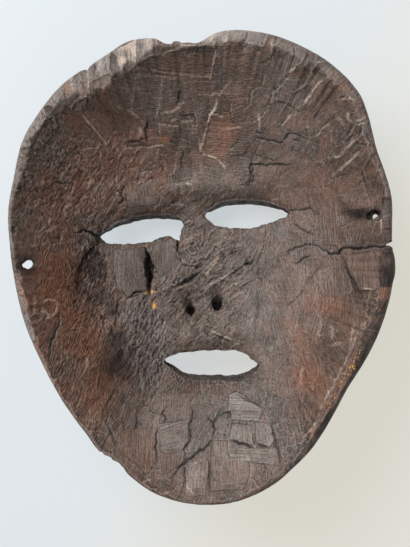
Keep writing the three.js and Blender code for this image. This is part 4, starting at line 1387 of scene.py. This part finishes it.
def build_shell(spacing, face_spacing, cut_depth):
    """The whole mask in millimetres: points, faces, marks for each point and a cut for each face."""
    shell = Shell()
    holes = [slot_path(points, lean, spacing) for points, lean in (LEFT_EYE, RIGHT_EYE, MOUTH)]
    holes += [nostril_path(*nostril, spacing) for nostril in NOSTRILS]
    holes += [tapered_path(*hole, spacing) for hole in TIE_HOLES]
    outline = outline_loop(spacing)
    inner_loops = [meet(hollow_z, path, count, WALL_HEIGHTS) for path, count in holes]
    outer_loops = [meet(face_z, path, count, WALL_HEIGHTS[::-1]) for path, count in holes]

    loops = [outline, *inner_loops]
    lines = clear_lines(edge_lines(spacing) + crack_lines(), loops, 0.45 * spacing)
    plan, faces, spots = ground_plan(loops, lines, lattice(spacing, HOLLOW_MARGIN), spacing)
    x, y = plan.T
    radius, degrees = polar(x, y)
    clear = smooth((outline_radius(degrees) - radius) / 2.2)
    lumps = 0.7 * lump_noise(x, y, 16) + 0.35 * lump_noise(x + 31, y, 7)
    chip, tone, turns, owners = chip_relief(x, y)
    flat = facet_marks(x, y, turns)
    nicks = gouge(x, y, make_nicks(NICK_FIELDS)) - gouge(x, y, make_nicks(SPLINTER_FIELDS))
    depth, soot_and_shade, pale = line_marks(x, y)
    ledge, ledge_shadow = ledge_rise(x, y)
    near = gap_between(plan, np.vstack(inner_loops))
    lip = 1.2 * np.clip(1 - near / 2.6, 0, 1) ** 2
    marked = sum(hill(x, y, form) for form in DENTS) + sum(ring(x, y, form) for form in RINGS)
    on_rim = smooth(rim_share(x, y) * 6)
    rough = 1 - flat["plain"]
    rim_relief = on_rim * 0.6 * rim_facet(degrees, 2)
    hollow_relief = (1 - on_rim) * (lumps + cut_depth * rough * chip + knot_rise(x, y) + ledge + marked)
    cut_in = (1 - 0.5 * on_rim) * (cut_depth * rough * nicks + depth)
    relief = clear * (hollow_relief + rim_relief + cut_depth * flat["rise"] - cut_in)
    z = hollow_z(*on_solid(x, y), cut_rim_width) + relief - lip
    marks = top_marks(x, y, relief, faces, tone, np.maximum(soot_and_shade, ledge_shadow) * clear, pale, flat)
    marks["fibre"] = marks["fibre"] * clear
    start = shell.add_points(np.column_stack([x, y, z]), marks)
    shell.add_faces(faces + start, turns[faces[:, 0]], owners[faces[:, 0]])
    top_spots = [spot + start for spot in spots]

    loops = [outline, *outer_loops]
    plan, faces, spots = ground_plan(loops, [], lattice(face_spacing, FACE_MARGIN), face_spacing)
    x, y = plan.T
    radius, degrees = polar(x, y)
    clear = smooth((outline_radius(degrees) - radius) / 6)
    chip, tone, turns, owners = chip_relief(x, y)
    relief = clear * (0.5 * lump_noise(x + 77, y, 18) + 0.5 * chip)
    z = face_z(*on_solid(x, y)) + relief
    marks = {
        # High on ridges and low in hollows of the face, for its painted highlight and painted shade.
        "ridge": np.clip(0.5 - 1.5 * (relief - neighbour_mean(relief, faces)), 0, 1),
        "tone": 0.5 + 0.3 * tone,
        "warm": np.clip(0.25 + 0.3 * lump_noise(x, y, 22), 0, 1),
        "worn": np.clip(0.2 + 0.3 * lump_noise(x + 9, y, 17), 0, 1),
        "fibre": 0.15 * clear,
    }
    start = shell.add_points(np.column_stack([x, y, z]), marks)
    shell.add_faces(faces[:, ::-1] + start, turns[faces[:, 0]], owners[faces[:, 0]])
    low_spots = [spot + start for spot in spots]

    shell.bridge(top_spots[0], low_spots[0], OUTLINE_ROWS, True, OUTLINE_DARKENING)
    for upper, lower, soot_and_shade in zip(top_spots[1:], low_spots[1:], OPENING_SHADE):
        shell.bridge(upper, lower, OPENING_ROWS, False, soot_and_shade)
    return shell


def rest_turn():
    """The turn from the mask's own frame to the way that it lies."""
    return Matrix.Rotation(REST_TILT, 3, "X") @ Matrix.Rotation(REST_ROLL, 3, "Y")


def rest_shift():
    """How far the turned mask moves to stand where its solid does, in millimetres."""
    grid = np.meshgrid(np.linspace(0, 360, 721), np.linspace(0.01, 1, 160))
    degrees, share = (values.ravel() for values in grid)
    x, y = around(outline_radius(degrees) * share, degrees).T
    points = np.vstack([np.column_stack([x, y, side(x, y)]) for side in (hollow_z, face_z)])
    turned = points @ np.array(rest_turn()).T
    low, high = turned.min(axis=0), turned.max(axis=0)
    return np.array([-(low[0] + high[0]) / 2, -(low[1] + high[1]) / 2, -low[2] - FLAT_SPOT_TRIM])


def to_room(points):
    """Points of the mask's own frame in millimetres, where they lie in the room in metres."""
    return (np.asarray(points, float) @ np.array(rest_turn()).T + rest_shift()) / 1000


def shell_mesh(name, shell):
    """A mesh of the shell, with its marks as attributes and two UV maps.

    The map "cuts" runs along the lines of each cut in metres, and "fields" counts a field's cuts.
    """
    points = np.vstack(shell.points)
    faces = np.vstack(shell.faces)
    turns, owners = np.concatenate(shell.turns), np.concatenate(shell.owners)
    a, b, c = (points[faces[:, i]] for i in range(3))
    sound = np.linalg.norm(np.cross(b - a, c - a), axis=1) > 1e-7
    faces, turns, owners = faces[sound], turns[sound], owners[sound]
    low, high = (np.array(corner) for corner in CAD_BOX)
    placed = np.clip(to_room(points), low, high)

    mesh = bpy.data.meshes.new(name)
    mesh.from_pydata(placed, [], faces)
    for mark, values in zip(Shell.MARKS, np.vstack(shell.marks).T):
        mesh.attributes.new(mark, "FLOAT", "POINT").data.foreach_set("value", values.astype(np.float32))
    x, y = points[faces, 0], points[faces, 1]
    add_map(mesh, "cuts", x / 1000, y / 1000, turns)
    fields = np.array(CHIP_FIELDS, float)[owners]
    bend_x, bend_y = 5 * lump_noise(x, y, 22), 4 * lump_noise(x + 67, y, 22)
    add_map(mesh, "fields", x + bend_x, y + bend_y, np.radians(fields[:, 6]), fields[:, 4:6])
    return mesh


def add_map(mesh, name, x, y, turns, sizes=np.ones((1, 2))):
    """A UV map that runs along and across each face's cut, counted in sizes."""
    turns = turns[:, None]
    along = (x * np.cos(turns) + y * np.sin(turns)) / sizes[:, :1]
    across = (y * np.cos(turns) - x * np.sin(turns)) / sizes[:, 1:]
    places = np.stack([along, across], axis=-1).ravel()
    mesh.uv_layers.new(name=name).uv.foreach_set("vector", places.astype(np.float32))


def linear(colour):
    """An sRGB hex colour as linear red, green and blue."""
    parts = [int(colour[i : i + 2], 16) / 255 for i in (1, 3, 5)]
    return tuple(part / 12.92 if part <= 0.04045 else ((part + 0.055) / 1.055) ** 2.4 for part in parts)


def add(tree, kind, inputs=None, **settings):
    """Adds a node with its settings. An input is a value, or an output that it is linked to."""
    made = tree.nodes.new(kind)
    for name, value in settings.items():
        setattr(made, name, value)
    for socket, value in (inputs or {}).items():
        if isinstance(value, bpy.types.NodeSocket):
            tree.links.new(value, made.inputs[socket])
        else:
            made.inputs[socket].default_value = value
    return made


def fibre_tree():
    """Raises torn fibres along the grain, where the wood is fibrous."""
    tree = bpy.data.node_groups.new("torn_fibres", "GeometryNodeTree")
    face = tree.interface
    face.new_socket("Mask", in_out="INPUT", socket_type="NodeSocketGeometry")
    for name in ("Fibre width", "Fibre length", "Fibre height", "Seed"):
        face.new_socket(name, in_out="INPUT", socket_type="NodeSocketFloat")
    face.new_socket("Wood", in_out="INPUT", socket_type="NodeSocketMaterial")
    face.new_socket("Mask", in_out="OUTPUT", socket_type="NodeSocketGeometry")
    given = add(tree, "NodeGroupInput").outputs
    place = add(tree, "GeometryNodeInputPosition").outputs["Position"]
    size = add(
        tree,
        "ShaderNodeCombineXYZ",
        {"X": given["Fibre width"], "Y": given["Fibre length"], "Z": given["Fibre width"]},
    )
    grain = add(tree, "ShaderNodeVectorMath", {0: place, 1: size.outputs[0]}, operation="DIVIDE")
    noise = add(
        tree,
        "ShaderNodeTexNoise",
        {"Vector": grain.outputs[0], "W": given["Seed"], "Scale": 1.0, "Detail": 2.0, "Roughness": 0.6},
        noise_dimensions="4D",
    )
    rise = add(tree, "ShaderNodeMath", {0: noise.outputs[0], 1: 0.5}, operation="SUBTRACT")
    share = add(tree, "GeometryNodeInputNamedAttribute", {"Name": "fibre"}, data_type="FLOAT")
    here = add(tree, "ShaderNodeMath", {0: rise.outputs[0], 1: share.outputs[0]}, operation="MULTIPLY")
    inputs = {0: here.outputs[0], 1: given["Fibre height"]}
    height = add(tree, "ShaderNodeMath", inputs, operation="MULTIPLY")
    normal = add(tree, "GeometryNodeInputNormal").outputs[0]
    offset = add(tree, "ShaderNodeVectorMath", {0: normal, "Scale": height.outputs[0]}, operation="SCALE")
    moved = add(tree, "GeometryNodeSetPosition", {"Geometry": given["Mask"], "Offset": offset.outputs[0]})
    real = add(tree, "GeometryNodeRealizeInstances", {0: moved.outputs[0]})
    coated = add(
        tree, "GeometryNodeSetMaterial", {"Geometry": real.outputs[0], "Material": given["Wood"]},
    )
    add(tree, "NodeGroupOutput", {0: coated.outputs[0]})
    return tree


def grown(piece, tree, inputs):
    """The piece's mesh after the tree has worked on it, as a plain mesh."""
    modifier = piece.modifiers.new(tree.name, "NODES")
    modifier.node_group = tree
    sockets = {item.name: item.identifier for item in tree.interface.items_tree if item.in_out == "INPUT"}
    for name, value in inputs.items():
        modifier[sockets[name]] = value
    evaluated = piece.evaluated_get(bpy.context.evaluated_depsgraph_get())
    mesh = bpy.data.meshes.new_from_object(evaluated)
    piece.modifiers.remove(modifier)
    return mesh


def smoked_hardwood(looks):
    """Smoke-darkened hardwood, gouge-cut and handled: dark and half glossy, with fine lines along
    each cut, paler where it is worn, reddish where the smoke is thin and black in the cracks from soot
    and painted shade; painted shade darkens its hollows and painted highlights light its ridges and
    raised fibres."""
    material = bpy.data.materials.new("smoked_hardwood_gouge_cut")
    material.use_nodes = True
    tree = material.node_tree
    shader = tree.nodes["Principled BSDF"]
    stains = {name: (*getattr(looks, name), 1) for name in looks.__annotations__ if name != "roughness"}
    marks = {}
    for name in Shell.MARKS:
        marks[name] = add(tree, "ShaderNodeAttribute", attribute_name=name).outputs["Fac"]
    place = add(tree, "ShaderNodeTexCoord").outputs["Object"]
    cuts = add(tree, "ShaderNodeUVMap", uv_map="cuts").outputs[0]
    fields = add(tree, "ShaderNodeUVMap", uv_map="fields").outputs[0]

    def sum_of(*products, start=0.0):
        """The sum of some products. A factor in brackets is a value, the range that it is held in,
        and the range that it is carried to, which is 0 to 1 where it isn't given."""
        for factors in products:
            product = 1.0
            for factor in factors:
                if isinstance(factor, tuple):
                    names = ("Value", "From Min", "From Max", "To Min", "To Max")
                    inputs = dict(zip(names, (*factor, 0.0, 1.0)))
                    factor = add(tree, "ShaderNodeMapRange", inputs).outputs[0]
                inputs = {0: product, 1: factor}
                product = add(tree, "ShaderNodeMath", inputs, operation="MULTIPLY").outputs[0]
            start = add(tree, "ShaderNodeMath", {0: start, 1: product}, operation="ADD").outputs[0]
        return start

    # Flat cuts side by side, at the size of each field, and smaller ones between them. The second
    # nearest of the large ones tells how near the edge of a cut is.
    rough = sum_of((marks["plain"], -1.0), start=1.0)
    cells = []
    for scale, feature in ((1.0, "F1"), (2.3, "F1"), (1.0, "F2")):
        inputs = {"Vector": fields, "Scale": scale, "Randomness": 0.9}
        look = {"voronoi_dimensions": "2D", "distance": "CHEBYCHEV", "feature": feature}
        cells.append(add(tree, "ShaderNodeTexVoronoi", inputs, **look).outputs)
    gap = sum_of((cells[2]["Distance"],), (cells[0]["Distance"], -1.0))
    heights, shades = [], []
    for cell in cells[:2]:
        lean, off = (
            add(tree, "ShaderNodeVectorMath", {0: a, 1: b}, operation="SUBTRACT").outputs[0]
            for a, b in ((cell["Color"], (0.5, 0.5, 0.5)), (fields, cell["Position"]))
        )
        slope = add(tree, "ShaderNodeVectorMath", {0: lean, 1: off}, operation="DOT_PRODUCT")
        heights.append(slope.outputs["Value"])
        shades.append(add(tree, "ShaderNodeSeparateXYZ", {0: cell["Color"]}).outputs)
    shade = sum_of((shades[0][0], 0.6), (shades[1][0], 0.4), start=-0.5)
    shade = sum_of((shade, rough), start=0.5)
    # The lines of each cut turn with it, by up to 17 degrees.
    angle = sum_of((shades[0][1], rough, 0.6), (rough, -0.3))
    turned = add(
        tree, "ShaderNodeVectorRotate", {"Vector": cuts, "Angle": angle}, rotation_type="Z_AXIS",
    ).outputs[0]

    textures = []
    for vector, scale, detail, stretch in (
        (place, 1.0, 3.0, (1000, 62, 1000)),  # grain, about 1 mm wide and 16 mm long, to the crown
        (turned, 1.0, 1.0, (50, 1400, 1)),  # lines of a nicked blade, about 0.7 by 20 mm
        (turned, 1.0, 1.0, (1400, 120, 1)),  # chatter of the blade across each cut, 0.7 by 8 mm
        (place, 110.0, 6.0, (1, 1, 1)),  # blotches, about 9 mm
        (place, 34.0, 3.0, (1, 1, 1)),  # patches, about 30 mm
        (place, 60.0, 2.0, (1, 1, 1)),  # clouds of smoke, about 17 mm
        (place, 150.0, 2.0, (1, 0.7, 1)),  # reddish spots, about 7 by 10 mm
        (place, 700.0, 3.0, (1, 1, 1)),  # dirt in pits about 1.5 mm apart
        (turned, 1.0, 0.0, (340, 1800, 1)),  # raised fibres, about 0.6 mm wide and 3 mm long
        (place, 1300.0, 1.0, (1, 1, 1)),  # specks of powder, about 1 mm
    ):
        stretched = add(tree, "ShaderNodeMapping", {"Vector": vector, "Scale": stretch}).outputs[0]
        inputs = {"Vector": stretched, "Scale": scale, "Detail": detail}
        textures.append(add(tree, "ShaderNodeTexNoise", inputs).outputs[0])
    grain, lines, chatter, blotches, patches, clouds, rust, pits, grit, specks = textures

    # Fibres, scratches and the painted highlights on ridges and flecks are grey, and golden brown where
    # the wood is reddish.
    inputs = {0: marks["warm"], 6: stains["worn_wood"], 7: stains["golden_wood"]}
    pale_wood_and_highlight = add(tree, "ShaderNodeMix", inputs, data_type="RGBA").outputs[2]
    fleck = sum_of((marks["fibre"], 0.85), start=0.04)
    ruled = sum_of((marks["worn"], 0.5), start=0.34)
    covered = sum_of(((grit, 0.48, 0.62, 0, 0.35), marks["fibre"], -1.0), start=1.0)
    powder = sum_of((marks["ochre"], 0.36), start=specks)
    torn = (blotches, 0.42, 0.55)
    colour = stains["dark_wood"]
    # Each coat, and the factors whose product says how much of it lies on the coats before.
    for coat, *factors in (
        (stains["wood"], (shade, 0.15, 0.85)),
        (stains["smoky_wood"], (clouds, 0.5, 0.7, 0, 0.5)),
        (stains["dark_wood"], (blotches, 0.45, 0.68, 0, 0.5)),
        (stains["red_wood"], (rust, 0.52, 0.66, 0, 0.25)),
        (stains["red_wood"], marks["warm"]),
        (stains["worn_wood"], marks["worn"], (blotches, 0.3, 0.6, 1.0, 0.75)),
        (pale_wood_and_highlight, (grain, 0.54, 0.72, 0, 0.6), marks["fibre"]),
        # Pale flecks on the raised fibres, partly painted glints, and dark flecks between them.
        (pale_wood_and_highlight, (grit, 0.5, 0.64), fleck),
        (stains["soot_and_shade"], (grit, 0.48, 0.35), fleck),
        (stains["dark_wood"], (grain, 0.46, 0.3, 0, 0.4)),
        (pale_wood_and_highlight, (lines, 0.56, 0.7), ruled),
        (stains["dark_wood"], (lines, 0.44, 0.3), ruled),
        (pale_wood_and_highlight, (chatter, 0.58, 0.7, 0, 0.5), (patches, 0.4, 0.58)),
        (stains["soot_and_shade"], (pits, 0.42, 0.28, 0, 0.6)),
        # Torn edges between the cuts: pale in some places and dark in others.
        (stains["splinter"], (gap, 0.03, 0.0, 0, 0.15), (patches, 0.5, 0.58), torn, rough),
        (stains["soot_and_shade"], (gap, 0.06, 0.0, 0, 0.35), (patches, 0.5, 0.42), torn, rough),
        # Lighter on ridges, partly wear and partly painted highlight; darker in hollows with soot and
        # painted shade.
        (pale_wood_and_highlight, (marks["ridge"], 0.6, 0.95, 0, 0.55)),
        (stains["soot_and_shade"], (marks["ridge"], 0.42, 0.05, 0, 0.75)),
        (stains["splinter"], marks["pale"], (pits, 0.35, 0.55, 0.5, 1.0)),
        # Fibres stand out of the soot and painted shade where the wood is fibrous.
        (stains["soot_and_shade"], marks["soot_and_shade"], covered),
        (stains["ochre"], (marks["ochre"], 0.02, 0.2), (powder, 0.68, 0.76)),
    ):
        inputs = {0: sum_of(factors), 6: colour, 7: coat}
        colour = add(tree, "ShaderNodeMix", inputs, data_type="RGBA").outputs[2]
    tree.links.new(colour, shader.inputs["Base Color"])
    gloss = (blotches, 0.35, 0.65, looks.roughness - 0.1, looks.roughness + 0.14)
    tree.links.new(sum_of((gloss,), (marks["soot_and_shade"], 0.1)), shader.inputs["Roughness"])
    shader.inputs["IOR"].default_value = 1.45

    # Heights in millimetres.
    cut_height = sum_of((heights[0], 2.2), (heights[1], 0.9))
    height = sum_of(
        (lines, 0.5), (chatter, 0.35), (grain, marks["fibre"]), (pits, 0.5), (grit, fleck, 0.9),
        (cut_height, rough),
    )
    bump = add(tree, "ShaderNodeBump", {"Height": height, "Strength": 0.8, "Distance": 0.001})
    tree.links.new(bump.outputs[0], shader.inputs["Normal"])
    return material


def pale_floor(looks):
    """Matt white board, lit from below as well, so that the openings show bright."""
    material = bpy.data.materials.new("matt_white_board")
    material.use_nodes = True
    tree = material.node_tree
    shader = tree.nodes["Principled BSDF"]
    place = add(tree, "ShaderNodeTexCoord").outputs["Object"]
    mottle = add(tree, "ShaderNodeTexNoise", {"Vector": place, "Scale": 3.0, "Detail": 2.0})
    # The board is cooler to the upper left, where the daylight comes from.
    slope = add(tree, "ShaderNodeVectorMath", {0: place, 1: (1.0, -0.7, 0.0)}, operation="DOT_PRODUCT")
    for socket, value, low, high, most, first, second in (
        ("Base Color", mottle.outputs[0], 0.2, 0.8, 0.06, looks.board, looks.floor),
        ("Emission Color", slope.outputs["Value"], 0.0, 0.14, 1.0, looks.floor, looks.warm_floor),
    ):
        inputs = {"Value": value, "From Min": low, "From Max": high, "To Max": most}
        share = add(tree, "ShaderNodeMapRange", inputs).outputs[0]
        inputs = {0: share, 6: (*first, 1), 7: (*second, 1)}
        blend = add(tree, "ShaderNodeMix", inputs, data_type="RGBA").outputs[2]
        tree.links.new(blend, shader.inputs[socket])
    shader.inputs["Emission Strength"].default_value = looks.floor_glow
    shader.inputs["Roughness"].default_value = 0.8
    return material


def tint(name, description, colour):
    """A colour that the user may change, from its sRGB hex value."""
    return bpy.props.FloatVectorProperty(
        name=name, description=description, subtype="COLOR", default=linear(colour),
    )


def dimension(name, description, default, least):
    """A length that the user may change, in metres."""
    return bpy.props.FloatProperty(
        name=name, description=description, default=default, min=least, precision=5, unit="LENGTH",
    )


class MaskSizes(bpy.types.PropertyGroup):
    """How finely the mask is carved."""

    spacing: dimension("Inside detail", "Distance between the points of the hollow", 0.0009, 0.0007)
    face_spacing: dimension("Outside detail", "Distance between the points of the face", 0.002, 0.001)
    cut_depth: bpy.props.FloatProperty(
        name="Cut depth", description="Depth of the gouge cuts, against how deep they are drawn",
        default=1.0, min=0.0, max=2.0, subtype="FACTOR",
    )
    fibre_width: dimension("Fibre width", "Width of the torn fibres", 0.0016, 0.001)
    fibre_length: dimension("Fibre length", "Length of the torn fibres", 0.012, 0.002)
    fibre_height: dimension("Fibre height", "How far the torn fibres stand up", 0.0009, 0.0)
    fibre_seed: bpy.props.IntProperty(
        name="Fibre seed", description="Another number gives another set of fibres", default=7,
    )


class WoodLooks(bpy.types.PropertyGroup):
    """The colours of the wood."""

    dark_wood: tint("Dark wood", "Colour of the darkest cuts", "#36281F")
    wood: tint("Wood", "Colour of the paler cuts", "#655042")
    smoky_wood: tint("Smoky wood", "Colour under a film of smoke", "#494239")
    # Also the colour of the painted highlights along raised ridges.
    splinter: tint("Splinters", "Colour of torn edges and scratches", "#C2AE9D")
    red_wood: tint("Red wood", "Colour where the smoke is thin", "#7A4C38")
    worn_wood: tint("Worn wood", "Colour of worn ridges and scratches", "#88807B")
    golden_wood: tint("Golden wood", "Colour of ridges and scratches in the reddish wood", "#94705A")
    # Soot, and the painted shade in cracks, troughs, hollows and the walls of the openings.
    soot_and_shade: tint("Soot", "Colour in cracks and troughs", "#150D0A")
    ochre: tint("Ochre", "Colour of the powder left under the left eye and on the rim", "#C8964A")
    roughness: bpy.props.FloatProperty(
        name="Roughness", description="Roughness of the handled surface",
        default=0.5, min=0.2, max=1.0, subtype="FACTOR",
    )


class StageLooks(bpy.types.PropertyGroup):
    """The floor and the light."""

    floor: tint("Floor", "Colour of the floor's own light", "#E8EFF3")
    warm_floor: tint("Warm floor", "Colour of the floor's own light at the right", "#F5F1E3")
    board: tint("Board", "Colour of the board", "#6D7072")
    floor_glow: bpy.props.FloatProperty(
        name="Floor glow", description="How much the floor shines", default=0.66, min=0.0, max=2.0,
    )
    key_power: bpy.props.FloatProperty(
        name="Key light", description="Power of the large lamp at the upper left",
        default=16.0, min=0.0, unit="POWER",
    )
    sky: bpy.props.FloatProperty(
        name="Sky", description="Strength of the even light from all sides", default=0.45, min=0.0,
    )


class CarveMask(bpy.types.Operator):
    """Carve the mask: its hollow, face, openings, cracks, gouge cuts and torn fibres"""

    bl_idname = "shaman_mask.carve"
    bl_label = "Carve Mask"

    def execute(self, context):
        sizes, looks = context.scene.shaman_mask_sizes, context.scene.shaman_mask_wood
        shell = build_shell(sizes.spacing * 1000, sizes.face_spacing * 1000, sizes.cut_depth)
        mask = bpy.data.objects.new("carved_mask", shell_mesh("carved_mask", shell))
        context.collection.objects.link(mask)
        inputs = {
            "Fibre width": sizes.fibre_width,
            "Fibre length": sizes.fibre_length,
            "Fibre height": sizes.fibre_height,
            "Seed": float(sizes.fibre_seed),
            "Wood": smoked_hardwood(looks),
        }
        mask.data = grown(mask, fibre_tree(), inputs)
        points = np.empty(len(mask.data.vertices) * 3, np.float32)
        mask.data.vertices.foreach_get("co", points)
        low, high = (np.array(corner) for corner in CAD_BOX)
        inside = np.clip(points.reshape(-1, 3), low, high)
        mask.data.vertices.foreach_set("co", inside.astype(np.float32).ravel())
        mask.data.shade_smooth()
        if not mask.data.polygons:
            raise RuntimeError("The mask has no faces")
        if len(mask.data.polygons) >= MOST_FACES:
            raise RuntimeError(f"The mask has {len(mask.data.polygons)} faces")
        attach(mask, "root")
        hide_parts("mask")
        return {"FINISHED"}


class SetStage(bpy.types.Operator):
    """Lay the floor and set the lamp, the sky and the camera above the mask"""

    bl_idname = "shaman_mask.stage"
    bl_label = "Set Stage"

    def execute(self, context):
        looks = context.scene.shaman_mask_stage
        mesh = bpy.data.meshes.new("floor")
        corners = [(x * FLOOR_HALF, y * FLOOR_HALF, 0) for x, y in ((-1, -1), (1, -1), (1, 1), (-1, 1))]
        mesh.from_pydata(corners, [], [(0, 1, 2, 3)])
        mesh.materials.append(pale_floor(looks))
        floor = bpy.data.objects.new("floor", mesh)
        context.collection.objects.link(floor)
        floor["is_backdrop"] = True

        lamp = bpy.data.lights.new("key_light", "AREA")
        lamp.energy = looks.key_power
        lamp.shape = "DISK"
        lamp.size = KEY_SIZE
        key = bpy.data.objects.new("key_light", lamp)
        key.location = to_room(KEY_PLACE)
        key.rotation_euler = (Vector(KEY_AIM) - key.location).to_track_quat("-Z", "Y").to_euler()
        context.collection.objects.link(key)

        world = bpy.data.worlds.new("studio")
        world.use_nodes = True
        background = world.node_tree.nodes["Background"]
        background.inputs["Strength"].default_value = looks.sky
        background.inputs["Color"].default_value = (1, 1, 1, 1)
        context.scene.world = world

        lens = bpy.data.cameras.new("camera")
        lens.sensor_width = SENSOR
        lens.lens = SENSOR * VIEW_DISTANCE / VIEW_HEIGHT
        camera = bpy.data.objects.new("camera", lens)
        place = Matrix.Translation(to_room([*VIEW_CENTRE, VIEW_DISTANCE]))
        camera.matrix_world = place @ rest_turn().to_4x4() @ Matrix.Rotation(-VIEW_LEAN, 4, "Z")
        context.collection.objects.link(camera)
        context.scene.camera = camera
        context.scene.view_settings.view_transform = "Standard"
        return {"FINISHED"}


class MaskPanel(bpy.types.Panel):
    """The steps and settings of the mask"""

    bl_idname = "VIEW3D_PT_shaman_mask"
    bl_label = "Shaman Mask"
    bl_space_type = "VIEW_3D"
    bl_region_type = "UI"
    bl_category = "Shaman Mask"

    def draw(self, context):
        for group, operator in (
            (context.scene.shaman_mask_sizes, None),
            (context.scene.shaman_mask_wood, CarveMask),
            (context.scene.shaman_mask_stage, SetStage),
        ):
            box = self.layout.box()
            for name in group.__annotations__:
                box.prop(group, name)
            if operator:
                box.operator(operator.bl_idname)


GROUPS = {
    "shaman_mask_sizes": MaskSizes,
    "shaman_mask_wood": WoodLooks,
    "shaman_mask_stage": StageLooks,
}


def register():
    for group in (*GROUPS.values(), CarveMask, SetStage, MaskPanel):
        bpy.utils.register_class(group)
    for name, group in GROUPS.items():
        setattr(bpy.types.Scene, name, bpy.props.PointerProperty(type=group))


def unregister():
    for name in GROUPS:
        delattr(bpy.types.Scene, name)
    for group in (MaskPanel, SetStage, CarveMask, *reversed(GROUPS.values())):
        bpy.utils.unregister_class(group)


def main():
    register()
    bpy.ops.shaman_mask.stage()
    bpy.ops.shaman_mask.carve()
    boxes = {"cad": CAD_BOX, "visual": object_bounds()}
    {name: [list(corner) for corner in box] for name, box in boxes.items()}


if __name__ == "__main__":
    main()
